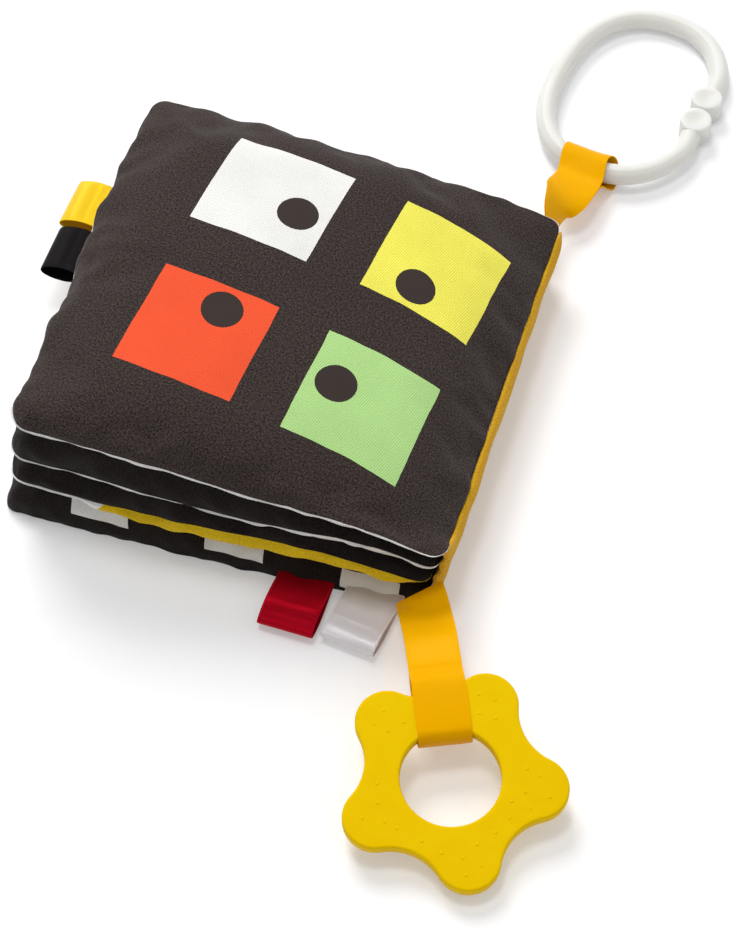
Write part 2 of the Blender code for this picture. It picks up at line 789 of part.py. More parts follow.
def petal_outline():
    """Round petals joined by hollow arcs that meet them smoothly, a valley facing the ribbon."""
    petal_out = TEETHER_REACH - TEETHER_PETAL_RADIUS
    half = math.pi / TEETHER_PETALS
    spread = petal_out * math.cos(half)
    gap = TEETHER_VALLEY ** 2 + petal_out ** 2 - 2 * spread * TEETHER_VALLEY - TEETHER_PETAL_RADIUS ** 2
    valley_radius = gap / (2 * (TEETHER_PETAL_RADIUS - TEETHER_VALLEY + spread))
    valley_out = TEETHER_VALLEY + valley_radius
    points = []
    for number in range(TEETHER_PETALS):
        middle = TEETHER_FIRST_VALLEY + half * (2 * number + 1)
        petal = (petal_out * math.cos(middle), petal_out * math.sin(middle))
        dip = middle + half
        hollow = (valley_out * math.cos(dip), valley_out * math.sin(dip))
        before = middle - half
        last_hollow = (valley_out * math.cos(before), valley_out * math.sin(before))
        touch_start = math.atan2(last_hollow[1] - petal[1], last_hollow[0] - petal[0])
        touch_end = math.atan2(hollow[1] - petal[1], hollow[0] - petal[0])
        while touch_end < touch_start:
            touch_end += 2 * math.pi
        points += arc_points(petal, TEETHER_PETAL_RADIUS, touch_start, touch_end, PETAL_STEPS)
        hollow_start = touch_end + math.pi
        turn = 2 * (half - (touch_end - middle))
        while turn > 0:
            turn -= 2 * math.pi
        while turn < -math.pi:
            turn += 2 * math.pi
        points += arc_points(hollow, valley_radius, hollow_start, hollow_start + turn, VALLEY_STEPS)
    return points


def add_teether():
    """A flat outline with a round hole, thickened, its edges rounded over."""
    curve = bpy.data.curves.new("teether_outline", "CURVE")
    curve.dimensions = "2D"
    curve.fill_mode = "BOTH"
    curve.extrude = TEETHER_THICKNESS / 2 - TEETHER_ROUNDING
    curve.bevel_depth = TEETHER_ROUNDING
    curve.bevel_resolution = 1
    curve.offset = -TEETHER_ROUNDING
    hole = arc_points((0, 0), TEETHER_HOLE, 0, 2 * math.pi, HOLE_STEPS)
    for outline in (petal_outline(), hole):
        spline = curve.splines.new("POLY")
        spline.points.add(len(outline) - 1)
        spline.use_cyclic_u = True
        for point, (x, y) in zip(spline.points, outline):
            point.co = (x, y, 0, 1)
    guide = bpy.data.objects.new("teether_outline", curve)
    parts.objects.link(guide)
    graph = bpy.context.evaluated_depsgraph_get()
    mesh = bpy.data.meshes.new_from_object(guide.evaluated_get(graph))
    bpy.data.objects.remove(guide, do_unlink=True)
    bm = bmesh.new()
    bm.from_mesh(mesh)
    bmesh.ops.remove_doubles(bm, verts=bm.verts, dist=WELD)
    bmesh.ops.recalc_face_normals(bm, faces=bm.faces)
    return add_mesh_object("teether", bm, yellow_rubber)


teether = add_teether()
teether_frame = bpy.data.objects.new("teether_frame", None)
parts.objects.link(teether_frame)
teether_frame.location = swing_hinge
teether_frame.rotation_euler = (0, -TEETHER_TILT, TEETHER_HEADING + math.pi)
teether.parent = teether_frame
teether.location = Vector((-(teether_centre - swing_hinge).length, 0, 0))
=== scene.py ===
import json
import math

import bmesh
import bpy
import numpy as np
from mathutils import Matrix, Quaternion, Vector, noise


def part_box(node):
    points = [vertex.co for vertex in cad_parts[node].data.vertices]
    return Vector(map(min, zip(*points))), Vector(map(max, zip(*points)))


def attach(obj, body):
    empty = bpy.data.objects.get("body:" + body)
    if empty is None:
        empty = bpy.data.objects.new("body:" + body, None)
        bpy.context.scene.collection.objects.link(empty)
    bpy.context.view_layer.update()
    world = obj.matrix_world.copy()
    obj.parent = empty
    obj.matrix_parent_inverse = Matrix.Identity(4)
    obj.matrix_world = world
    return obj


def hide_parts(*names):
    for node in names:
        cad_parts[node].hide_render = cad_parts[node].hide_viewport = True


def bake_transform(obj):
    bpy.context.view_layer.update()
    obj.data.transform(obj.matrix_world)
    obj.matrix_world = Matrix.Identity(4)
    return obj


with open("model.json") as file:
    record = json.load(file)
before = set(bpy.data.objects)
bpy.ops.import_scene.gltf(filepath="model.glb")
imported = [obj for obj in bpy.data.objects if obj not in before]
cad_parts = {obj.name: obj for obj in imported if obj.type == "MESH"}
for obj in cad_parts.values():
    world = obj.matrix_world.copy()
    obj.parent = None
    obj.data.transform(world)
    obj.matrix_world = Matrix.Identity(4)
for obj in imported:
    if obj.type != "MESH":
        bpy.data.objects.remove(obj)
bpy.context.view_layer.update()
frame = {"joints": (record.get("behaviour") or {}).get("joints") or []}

# Camera, lamps and floor
#
# The closed book lies on white paper and is seen from its foot, a little from the spine side, from
# high above. A large soft lamp behind its left side throws a pale shadow to the right, and a small
# one overhead gives the satin its bright bands.

AIM = Vector((0.0395, -0.036, 0.020))
AZIMUTH = math.radians(17.5)
ELEVATION = math.radians(54.9)
ROLL = math.radians(-1.7)
DISTANCE = 0.80
SENSOR_MM = 36
PHOTO_HEIGHT_PX = 934
FOCAL_PX = 2744

scene = bpy.context.scene
for leftover in [item for item in scene.objects if item.type in {"CAMERA", "LIGHT"}]:
    bpy.data.objects.remove(leftover)


def new_object(name, data):
    made = bpy.data.objects.new(name, data)
    scene.collection.objects.link(made)
    return made


camera = new_object("camera", bpy.data.cameras.new("camera"))
scene.camera = camera
camera.data.sensor_width = SENSOR_MM
camera.data.lens = SENSOR_MM * FOCAL_PX / PHOTO_HEIGHT_PX
camera.data.clip_start = 0.01
towards_camera = Vector(
    (
        math.sin(AZIMUTH) * math.cos(ELEVATION),
        -math.cos(AZIMUTH) * math.cos(ELEVATION),
        math.sin(ELEVATION),
    )
)
camera.location = AIM + towards_camera * DISTANCE
camera.rotation_mode = "QUATERNION"
looking = (-towards_camera).to_track_quat("-Z", "Y")
camera.rotation_quaternion = looking @ Quaternion((0, 0, 1), ROLL)

# Square soft lamps that face the book: name, place, size, power
LAMPS = (
    ("window_lamp", (-0.90, 1.28, 1.74), 1.00, 35),
    ("overhead_lamp", (-0.15, 0.10, 1.60), 0.36, 6.0),
    ("front_reflector", (0.35, -0.90, 0.90), 0.90, 0.8),
    ("right_reflector", (0.95, 0.25, 0.60), 0.70, 0.6),
)
for name, place, size, power in LAMPS:
    lamp = new_object(name, bpy.data.lights.new(name, "AREA"))
    lamp.data.shape = "SQUARE"
    lamp.data.size = size
    lamp.data.energy = power
    lamp.location = place
    lamp.rotation_euler = (AIM - Vector(place)).to_track_quat("-Z", "Y").to_euler()


def linear(hex_colour):
    """An sRGB hex colour as the linear RGBA that a shader takes."""
    channels = [int(hex_colour[place:place + 2], 16) / 255 for place in (1, 3, 5)]
    return (*[c / 12.92 if c <= 0.04045 else ((c + 0.055) / 1.055) ** 2.4 for c in channels], 1)


def feed(tree, node, inputs):
    """Feeds a node's inputs with values or with other nodes' outputs."""
    for name, value in inputs.items():
        if isinstance(value, bpy.types.NodeSocket):
            tree.links.new(value, node.inputs[name])
        else:
            node.inputs[name].default_value = value


def add_node(tree, kind, inputs=None, **settings):
    """Adds a shader node, sets its properties and feeds its inputs."""
    node = tree.nodes.new(kind)
    for name, value in settings.items():
        setattr(node, name, value)
    feed(tree, node, inputs or {})
    return node


def reckoned(tree, operation, *values):
    """What a Math node makes of the values."""
    return add_node(tree, "ShaderNodeMath", dict(enumerate(values)), operation=operation).outputs[0]


def new_material(name):
    """An empty Principled material: its name, its node tree and its shader."""
    material = bpy.data.materials.new(name)
    material.use_nodes = True
    return material, material.node_tree, material.node_tree.nodes["Principled BSDF"]


scene.world = bpy.data.worlds.new("pale_studio")
scene.world.use_nodes = True
tree = scene.world.node_tree
feed(tree, tree.nodes["Background"], {"Color": linear("#f7f8fb"), "Strength": 0.40})

# Matt white paper: a share of plain white, that lights nothing, lifts it as in the photograph
PAPER_LIFT_SHARE = 0.20
PAPER_LIFT_LEVEL = 1.25
paper, tree, shader = new_material("matt_white_paper")
feed(tree, shader, {"Base Color": linear("#fbfbfc"), "Roughness": 0.9})
rays = add_node(tree, "ShaderNodeLightPath").outputs
seen = reckoned(tree, "MAXIMUM", rays["Is Camera Ray"], rays["Is Glossy Ray"])
lift = reckoned(tree, "MULTIPLY", seen, PAPER_LIFT_SHARE)
plain_white = add_node(tree, "ShaderNodeEmission", {"Strength": PAPER_LIFT_LEVEL}).outputs[0]
lifted = add_node(tree, "ShaderNodeMixShader", {0: lift, 1: shader.outputs[0], 2: plain_white})
feed(tree, tree.nodes["Material Output"], {"Surface": lifted.outputs[0]})

FLOOR_SIZE = 6
FLOOR_DROP = 0.0003
bpy.ops.mesh.primitive_plane_add(size=FLOOR_SIZE, location=(0, 0, -FLOOR_DROP))
floor = bpy.context.object
floor.name = "paper_floor"
floor.data.materials.append(paper)


# Padded leaves
#
# Each leaf is two panels of printed polyester twill, sewn face to face, turned out and filled with
# a sheet of wadding. The panels swell between their seams and pucker along them.

# Lists go by level: the back cover, page 3, page 2 and the front cover
PAGE_WIDTH = 0.130
PAGE_HEIGHT = 0.133
TOP_LEVEL = 3
CORNER_RADIUS = 0.0045
SPINE_PITCH = 0.006
FORE_PITCHES = (0.0150, 0.0125, 0.0155, 0.0110)
SPINE_LEAN = 0.002
FAN_POWER = 2.4
LEAF_GAP = 0.0006
SEAM_RISES = (0.0009, 0.0012, 0.0012, 0.0013)
SEAM_FORE_RISES = (0, 0.0022, 0.0014, 0.0012)

# Towards the spine the seams climb up the leaves' ends, as shares of their thickness
SEAM_CLIMBS = (0, 0.74, 0.76, 0.72)
CLIMB_STARTS = (0, -0.6, 0.0, 0.0)
CLIMB_END = 0.85
HEAD_CLIMB = 0.45
HEAD_CLIMB_START = 0.35
CLIMB_REACH = 0.25

# How far the four edges bow, lean and stretch out of the square, on the fore, spine, head and foot
FORE_BOW = 0.0012
FORE_LEAN = 0.0014
FORE_OUTS = (0.0016, 0.0010, 0.0006, 0.0004)
FORE_TUCKS = (0.0014, 0.0030, 0.0011, 0)
SPINE_SKEWS = (0, 0.0006, 0.0012, 0.0020)
HEAD_SPINE_OUT = 0.0020
HEAD_DRAW_IN = 0.0022
HEAD_CORNER_OUT = 0.0006
FOOT_BOW = 0.0012
FOOT_TUCKS = (0, 0.0004, 0.0016, 0.0008)
FOOT_CORNER_OUT = 0.0028
CORNER_POWER = 8

# The stack is pressed down along its head, and the cover's edge is rounder there
HEAD_SINK = 0.085
COVER_CROWN = 0.0018
EDGE_SOFTNESS = 0.020
HEAD_FORE_SOFTER = 0.75
HEAD_SPINE_FIRMER = 0.55
EDGE_RINGS = 12
MIDDLE_SPACING = 0.0024

# The lower panel rolls out past the seam in a thin lip, fuller in some places than in others
LIP_OUTS = (0, 0.0004, 0.0006, 0.0006, 0.0003)
LIP_DROPS = (0, 0.00025, 0.00060, 0.00095, 0.00125)
LIP_LEAST = 0.22
LIP_MOST = 0.9
LIP_WAVE_LENGTH = 0.013
LIP_STEP_LENGTH = 0.019
LIP_SEED = 60
LIP_STEP_SEED = 80
UNDERCUT = 0.85
LOWER_SOFTNESS = 0.0015

# Page 3's yellow lip hangs out at the foot, from near the fore-edge to near the spine
YELLOW_LIP = 2.3
YELLOW_LIP_FOOT = -0.9
YELLOW_LIP_RISE = (-0.75, -0.35)
YELLOW_LIP_FALL = (0.95, 0.75)

# Puckers along the sewing, and the soft waves of the wadding
SEED_SPACING = 7.3
SEAM_WAVE = 0.0013
SEAM_LEAST = 0.0007
SEAM_WAVE_LENGTH = 0.011
PUCKER = 0.0008
PUCKER_LENGTH = 0.0052
PUCKER_REACH = 0.0065
PUCKER_SEED = 20
CREASE = 0.00055
CREASE_LENGTH = 0.016
CREASE_REACH = 0.022
CREASE_SEED = 40
HEAD_CALM = 0.7
CREASED_SHARE = 0.9
COVER_SWELL = 0.0006
COVER_SWELL_LENGTH = 0.034
SEAM_SHARPNESS = 0.8


def clamped(value):
    return min(max(value, 0), 1)


def smooth_share(value, start, end):
    """0 before the start, 1 after the end and an even swing in between."""
    share = clamped((value - start) / (end - start))
    return share * share * (3 - 2 * share)


def spine_height(level):
    return SPINE_PITCH * level


def fore_height(level):
    return sum(FORE_PITCHES[:level])


def spine_edge(level):
    return PAGE_WIDTH / 2 + SPINE_LEAN * level


def lying_width(level):
    """Width of a leaf from above: the leaf is tilted, so less than its cut."""
    rise = fore_height(level) - spine_height(level)
    return math.sqrt(PAGE_WIDTH ** 2 - rise ** 2)


def bed_height(level, x):
    """Height of the surface that a leaf lies on: it rises fast from the spine, then levels out."""
    share = clamped((spine_edge(level) - x) / lying_width(level))
    fan = 1 - (1 - share) ** FAN_POWER
    return spine_height(level) + (fore_height(level) - spine_height(level)) * fan


def top_height(level, x, y):
    height = bed_height(level + 1, x) - LEAF_GAP / 2
    if level == TOP_LEVEL:
        half_x = lying_width(level) / 2
        across = (x - spine_edge(level) + half_x) / half_x
        along = y / (PAGE_HEIGHT / 2)
        height += COVER_CROWN * max(1 - across ** 2, 0) * max(1 - along ** 2, 0)
    return height


def page_point(level, x, y):
    """Rounds the corners of a flat page, and gives it the slight bows and leans of its sewing."""
    half_x = lying_width(level) / 2
    half_y = PAGE_HEIGHT / 2
    over_x = abs(x) - (half_x - CORNER_RADIUS)
    over_y = abs(y) - (half_y - CORNER_RADIUS)
    if over_x > 0 and over_y > 0:
        pull = max(over_x, over_y) / math.hypot(over_x, over_y)
        x = math.copysign(half_x - CORNER_RADIUS + over_x * pull, x)
        y = math.copysign(half_y - CORNER_RADIUS + over_y * pull, y)
    along = y / half_y
    across = x / half_x
    fore = ((1 - across) / 2) ** 2
    back = ((1 + across) / 2) ** 2
    head = (1 + along) / 2
    out = FORE_BOW * (1 - along ** 2) + FORE_LEAN * head + FORE_OUTS[level]
    x -= fore * (out - FORE_TUCKS[level] * (1 - head) ** 2)
    stretch = HEAD_SPINE_OUT * max(along, 0) ** CORNER_POWER
    x -= back * (SPINE_SKEWS[level] * (1 - head) - stretch)
    if along > 0:
        y += along ** 3 * (HEAD_CORNER_OUT * back - HEAD_DRAW_IN * (1 - across ** 2))
    else:
        y += along ** 2 * (FOOT_TUCKS[level] * back - FOOT_BOW * (1 - across ** 2))
        if level == 0:
            y -= along ** 2 * FOOT_CORNER_OUT * max(across, 0) ** CORNER_POWER
    return x + spine_edge(level) - half_x, y


def head_sink(x, y):
    """Share of its height that the stack keeps, pressed down at its head but not at its spine."""
    from_spine = clamped((PAGE_WIDTH / 2 - x) / (PAGE_WIDTH / 2))
    along = clamped(2 * y / PAGE_HEIGHT)
    return 1 - HEAD_SINK * along ** 2 * from_spine * (2 - from_spine)


def softness(level, x, y):
    """Width of a panel's rounding. The cover's is long along the head's fore part, and short at
    the head's spine corner."""
    if level < TOP_LEVEL:
        return EDGE_SOFTNESS
    along = clamped(2 * y / PAGE_HEIGHT) ** 2
    across = clamped(x / PAGE_WIDTH + 0.5)
    softer = HEAD_FORE_SOFTER * (1 - across) - HEAD_SPINE_FIRMER * across ** 2
    return EDGE_SOFTNESS * (1 + along * softer)


ring_turns = [math.pi / 2 * ring / EDGE_RINGS for ring in range(EDGE_RINGS + 1)]
ring_insets = [EDGE_SOFTNESS * (1 - math.cos(turn)) for turn in ring_turns]


def line_places(half):
    """Places of the mesh lines from edge to edge, close together where the panel curves down."""
    inner = half - ring_insets[-1]
    count = round(2 * inner / MIDDLE_SPACING)
    middle = [-inner + 2 * inner * step / count for step in range(1, count)]
    edge = [-half + inset for inset in ring_insets]
    return edge + middle + [-place for place in reversed(edge)]


def seam_rise(level, x, y):
    """Height of a leaf's seam over the surface that the leaf lies on."""
    from_spine = clamped((spine_edge(level) - x) / PAGE_WIDTH)
    across = 1 - 2 * (spine_edge(level) - x) / lying_width(level)
    along = 2 * y / PAGE_HEIGHT
    rise = SEAM_RISES[level] + SEAM_FORE_RISES[level] * from_spine ** 2
    climb = SEAM_CLIMBS[level] * smooth_share(across, CLIMB_STARTS[level], CLIMB_END)
    climb *= smooth_share(-along, 1 - CLIMB_REACH, 1)
    if level:
        head_climb = HEAD_CLIMB * smooth_share(across, HEAD_CLIMB_START, 1)
        climb += head_climb * smooth_share(along, 1 - CLIMB_REACH, 1)
    return rise + climb * (bed_height(level + 1, x) - bed_height(level, x))


def swell_share(inset, reach):
    """Share of its full rise that a stuffed panel has at a distance in from the seam."""
    return math.sqrt(1 - (1 - clamped(inset / reach)) ** 2)


def panel_inset(upper, ring):
    """Inset of one ring of the mesh: the lower panel's first rings are its lip, standing out."""
    if upper:
        return ring_insets[ring]
    if ring < len(LIP_OUTS):
        return -LIP_OUTS[ring]
    return ring_insets[ring] * (ring - len(LIP_OUTS) + 1) / (EDGE_RINGS - len(LIP_OUTS) + 1)


def lower_drop(ring, inset, lip, whole):
    """How far the lower panel lies under its seam: the lip, then a slope in to the leaf below."""
    lip_drop = min(LIP_DROPS[min(ring, len(LIP_DROPS) - 1)] * lip, whole * LIP_MOST)
    if ring < len(LIP_DROPS):
        return lip_drop
    left = whole - lip_drop
    reach = max(left * UNDERCUT, LOWER_SOFTNESS)
    return lip_drop + left * math.sin(math.pi / 2 * min(inset / reach, 1))


def sewing_noise(seed, x, y, length):
    """Smooth noise over the leaves' plan, with waves of about the given length."""
    return noise.noise(Vector((x / length, y / length, seed * SEED_SPACING)))


def lip_size(level, x, y, across, along):
    """Size of the lip: it swells and thins, and steps back where the sewing was clipped."""
    full = clamped(0.5 + sewing_noise(level + LIP_SEED, x, y, LIP_WAVE_LENGTH))
    drift = 2 * sewing_noise(level + LIP_STEP_SEED, x, y, 3 * LIP_STEP_LENGTH)
    far = (x + y) / LIP_STEP_LENGTH + drift
    full = (full + far % 1) / 2
    size = LIP_LEAST + (1 - LIP_LEAST) * full
    if level == 1 and along < YELLOW_LIP_FOOT:
        hanging = YELLOW_LIP * smooth_share(across, *YELLOW_LIP_RISE)
        size += hanging * smooth_share(across, *YELLOW_LIP_FALL)
    return size


def panel_points(level, upper):
    """Points of one panel of a leaf, as an array [line across][line along][x, y, z]."""
    half_x = lying_width(level) / 2
    half_y = PAGE_HEIGHT / 2
    across = line_places(half_x)
    along = line_places(half_y)
    points = np.zeros((len(across), len(along), 3))
    for i, flat_x in enumerate(across):
        for j, flat_y in enumerate(along):
            from_side = min(i, len(across) - 1 - i)
            from_end = min(j, len(along) - 1 - j)
            ring = min(from_side, from_end, EDGE_RINGS)
            inset = panel_inset(upper, ring)
            lip = lip_size(level, flat_x, flat_y, flat_x / half_x, flat_y / half_y)
            if inset < 0:
                at_spine = from_side < from_end and flat_x > 0
                inset *= 0 if level == 0 or at_spine else lip
            if ring == EDGE_RINGS:
                inset = min(half_x - abs(flat_x), half_y - abs(flat_y))
            x, y = flat_x, flat_y
            if from_side == ring < EDGE_RINGS:
                x = math.copysign(half_x - inset, flat_x)
            if from_end == ring < EDGE_RINGS:
                y = math.copysign(half_y - inset, flat_y)

            near = math.exp(-max(inset, 0) / PUCKER_REACH)
            wave = SEAM_WAVE * sewing_noise(level, flat_x, flat_y, SEAM_WAVE_LENGTH) * near
            pucker = sewing_noise(level + PUCKER_SEED, flat_x, flat_y, PUCKER_LENGTH)
            pucker = PUCKER * (pucker * near)
            crease = sewing_noise(level + CREASE_SEED, flat_x, flat_y, CREASE_LENGTH)
            crease *= math.exp(-max(inset, 0) / CREASE_REACH) * (1 - near)
            calm = 1 - HEAD_CALM * clamped(flat_y / half_y)
            outward = (wave + pucker) * calm
            side_x = math.copysign(1, flat_x) if from_side <= from_end else 0
            side_y = math.copysign(1, flat_y) if from_end <= from_side else 0
            x, y = page_point(level, x + side_x * outward, y + side_y * outward)

            bed = bed_height(level, x)
            seam = bed + max(seam_rise(level, x, y) + wave, SEAM_LEAST)
            if upper:
                share = swell_share(inset, softness(level, flat_x, flat_y))
                lift = (CREASE * crease + pucker) * calm
                if level == TOP_LEVEL:
                    swell = sewing_noise(level, flat_x, flat_y, COVER_SWELL_LENGTH)
                    lift += COVER_SWELL * swell * share
                elif share >= CREASED_SHARE:
                    lift = min(lift, 0)
                z = seam + (top_height(level, x, y) - seam) * share + lift
            else:
                under = bed + (LEAF_GAP / 2 if level else 0)
                z = seam - lower_drop(ring, inset, lip, seam - under)
            points[i, j] = (x, y, z * head_sink(x, y))
    return points


def cloth_lengths(points, axis):
    """Distance of each point from the middle of its panel, measured over the cloth itself."""
    steps = np.linalg.norm(np.diff(points, axis=axis), axis=2)
    start = np.zeros_like(np.take(steps, [0], axis))
    lengths = np.concatenate([start, np.cumsum(steps, axis=axis)], axis)
    middle = (np.take(lengths, [0], axis) + np.take(lengths, [-1], axis)) / 2
    return lengths - middle


def panel_faces(numbers, turned):
    """Quads between neighbouring points of a panel, as corner positions in its grid."""
    rows, columns = numbers.shape
    faces = []
    for i in range(rows - 1):
        for j in range(columns - 1):
            corners = [(i, j), (i + 1, j), (i + 1, j + 1), (i, j + 1)]
            faces.append(corners[::-1] if turned else corners)
    return faces


# How far the wadding may push a point from its place, at the seam and in the panel's middle. Where
# leaves lie on each other it is little, and the cover's top is free.
LYING_FREEDOM = 0.00018
UPPER_FREEDOM = (0.0011, LYING_FREEDOM)
LOWER_FREEDOM = (2 * LYING_FREEDOM, LYING_FREEDOM)
COVER_FREEDOM = (0.0006, 0.0016)


def panel_freedom(rings, edge, inner):
    """Most distance that stuffing may move each point of a panel."""
    return edge + (inner - edge) * np.minimum(rings / EDGE_RINGS, 1)


def sewn_leaf(name, level, upper_cloth, lower_cloth):
    """Both panels of a leaf in one closed mesh, joined at the seam, with the flat cloth as UVs."""
    upper = panel_points(level, True)
    lower = panel_points(level, False)
    rows, columns = upper.shape[:2]
    from_side = np.minimum(np.arange(rows), np.arange(rows)[::-1])
    from_end = np.minimum(np.arange(columns), np.arange(columns)[::-1])
    rings = np.minimum(from_side[:, None], from_end[None, :])
    inside = rings > 0
    upper_numbers = np.arange(rows * columns).reshape(rows, columns)
    lower_numbers = upper_numbers.copy()
    lower_numbers[inside] = rows * columns + np.arange(np.count_nonzero(inside))
    vertices = np.concatenate([upper.reshape(-1, 3), lower[inside]])
    faces = []
    flats = []
    for points, numbers, turned in ((upper, upper_numbers, False), (lower, lower_numbers, True)):
        flat = np.stack([cloth_lengths(points, 0), cloth_lengths(points, 1)], axis=2)
        for corners in panel_faces(numbers, turned):
            faces.append([int(numbers[corner]) for corner in corners])
            flats += [flat[corner] for corner in corners]
    mesh = bpy.data.meshes.new(name)
    mesh.from_pydata(vertices.tolist(), [], faces)
    uv_map = mesh.uv_layers.new(name="flat_cloth")
    uv_map.data.foreach_set("uv", np.array(flats, np.float32).ravel())
    mesh.materials.append(upper_cloth)
    mesh.materials.append(lower_cloth)
    in_lower = np.arange(len(faces)) >= len(faces) // 2
    mesh.polygons.foreach_set("material_index", in_lower.astype(np.int32))
    seam = set(upper_numbers[rings == 0].tolist())
    sewn = [float(seam.issuperset(edge.vertices)) for edge in mesh.edges]
    crease = mesh.attributes.new("crease_edge", "FLOAT", "EDGE")
    crease.data.foreach_set("value", np.array(sewn, np.float32) * SEAM_SHARPNESS)
    mesh.shade_smooth()
    freedom = panel_freedom(rings, *(COVER_FREEDOM if level == TOP_LEVEL else UPPER_FREEDOM))
    lower_freedom = panel_freedom(rings, *LOWER_FREEDOM)[inside]
    return new_object(name, mesh), sorted(seam), np.concatenate([freedom.ravel(), lower_freedom])


STUFFING_FRAMES = 20
STUFFING = {
    "quality": 5,
    "mass": 0.15,
    "tension_stiffness": 20,
    "compression_stiffness": 20,
    "shear_stiffness": 8,
    "bending_stiffness": 0.6,
    "vertex_group_mass": "seam",
    "shrink_min": -0.03,
    "use_pressure": True,
    "uniform_pressure_force": 4.0,
}


def stuff(leaf, seam, freedom):
    """Blows the panels up as wadding does, with the seam held, and keeps the folds that form."""
    start = np.array([vertex.co for vertex in leaf.data.vertices])
    held = leaf.vertex_groups.new(name="seam")
    held.add(seam, 1.0, "REPLACE")
    cloth = leaf.modifiers.new("stuffing", "CLOTH")
    for name, value in STUFFING.items():
        setattr(cloth.settings, name, value)
    cloth.settings.effector_weights.gravity = 0
    cloth.point_cache.frame_start = 1
    cloth.point_cache.frame_end = STUFFING_FRAMES
    for number in range(1, STUFFING_FRAMES + 1):
        scene.frame_set(number)
    stuffed = leaf.evaluated_get(bpy.context.evaluated_depsgraph_get())
    end = np.array([vertex.co for vertex in stuffed.data.vertices])
    scene.frame_set(1)
    leaf.modifiers.remove(cloth)
    leaf.vertex_groups.remove(held)
    moves = end - start
    lengths = np.linalg.norm(moves, axis=1)
    moves *= (np.tanh(lengths / freedom) * freedom / np.maximum(lengths, 1e-9))[:, None]
    places = start + moves
    places[:, 2] = np.maximum(places[:, 2], 0)
    leaf.data.vertices.foreach_set("co", places.astype(np.float32).ravel())
    leaf.data.update()


# Polyester twill, heat printed: matt, heathered in fine specks, with fine diagonal lines, darkened
# by painted shade in their grooves and lightened by painted light on their ridges.
# The lines are 0.65 mm apart, a little coarser than the real 0.4 mm, so that they show.
TWILL_PITCH = 0.00065
TWILL_TURN = math.radians(19)
TWILL_WANDER = {"Distortion": 0.6, "Detail": 1.5, "Detail Scale": 2.0}
TWILL_BUMP = (0.55, 0.00012)
SPECK_NOISE = (1 / 0.0006, 3, 0.7)
SPECK_FADE = (0.36, 0.64)
SPECK_RELIEF = 1.1
# Painted shade in the twill's grooves and painted light on its ridges, as shares of the colour
GROOVE_DEPTHS = (0.3, 1.7)
PAINTED_GROOVE_SHADE_AND_RIDGE_LIGHT = (0.86, 1.06)
WEAR_NOISE = (38, 3, 0.6)
WEAR_LIGHT = (0.93, 1.05)
NOISE_MIDDLE = (0.3, 0.7)
TWILL_SURFACE = {
    "Roughness": 0.86,
    "IOR": 1.5,
    "Specular IOR Level": 0.12,
    "Sheen Weight": 0.10,
    "Sheen Roughness": 0.5,
}


def ranged(tree, value, start, end, low, high):
    """Takes a value from the range start to end over to the range low to high, and no further."""
    inputs = dict(enumerate((value, start, end, low, high)))
    return add_node(tree, "ShaderNodeMapRange", inputs).outputs[0]


def mixed(tree, share, first, second):
    """A colour between two others."""
    inputs = {0: share, 6: first, 7: second}
    return add_node(tree, "ShaderNodeMix", inputs, data_type="RGBA").outputs[2]


def clouds(tree, place, scale, detail, roughness=0.5):
    inputs = {"Vector": place, "Scale": scale, "Detail": detail, "Roughness": roughness}
    return add_node(tree, "ShaderNodeTexNoise", inputs).outputs[0]


def relief(tree, height, strength, distance):
    inputs = {"Strength": strength, "Distance": distance, "Height": height}
    return add_node(tree, "ShaderNodeBump", inputs).outputs[0]


def band_scale(pitch):
    """Scale at which a Wave texture's bands lie one pitch apart."""
    return 2 * math.pi / 20 / pitch


def motif_mask(tree, flat, centre, turn, corners, reach):
    """1 inside a disc (no corners) or a regular shape whose sides lie at reach from its centre."""
    place = {"Vector": flat, "Location": (*centre, 0), "Rotation": (0, 0, turn)}
    local = add_node(tree, "ShaderNodeMapping", place, vector_type="TEXTURE").outputs[0]
    radius = add_node(tree, "ShaderNodeVectorMath", {0: local}, operation="LENGTH").outputs["Value"]
    if corners:
        sector = 2 * math.pi / corners
        x, y, _ = add_node(tree, "ShaderNodeSeparateXYZ", {0: local}).outputs
        turned = reckoned(tree, "ADD", reckoned(tree, "ARCTAN2", y, x), sector / 2)
        folded = reckoned(tree, "FLOORED_MODULO", turned, sector)
        lean = reckoned(tree, "COSINE", reckoned(tree, "SUBTRACT", folded, sector / 2))
        radius = reckoned(tree, "MULTIPLY", radius, lean)
    return reckoned(tree, "LESS_THAN", radius, reach)


def repeated(tree, flat, pitch):
    """The flat cloth cut in squares of one pitch, each with its own middle."""
    limits = {0: flat, 1: (pitch / 2, pitch / 2, 1), 2: (-pitch / 2, -pitch / 2, -1)}
    return add_node(tree, "ShaderNodeVectorMath", limits, operation="WRAP").outputs[0]


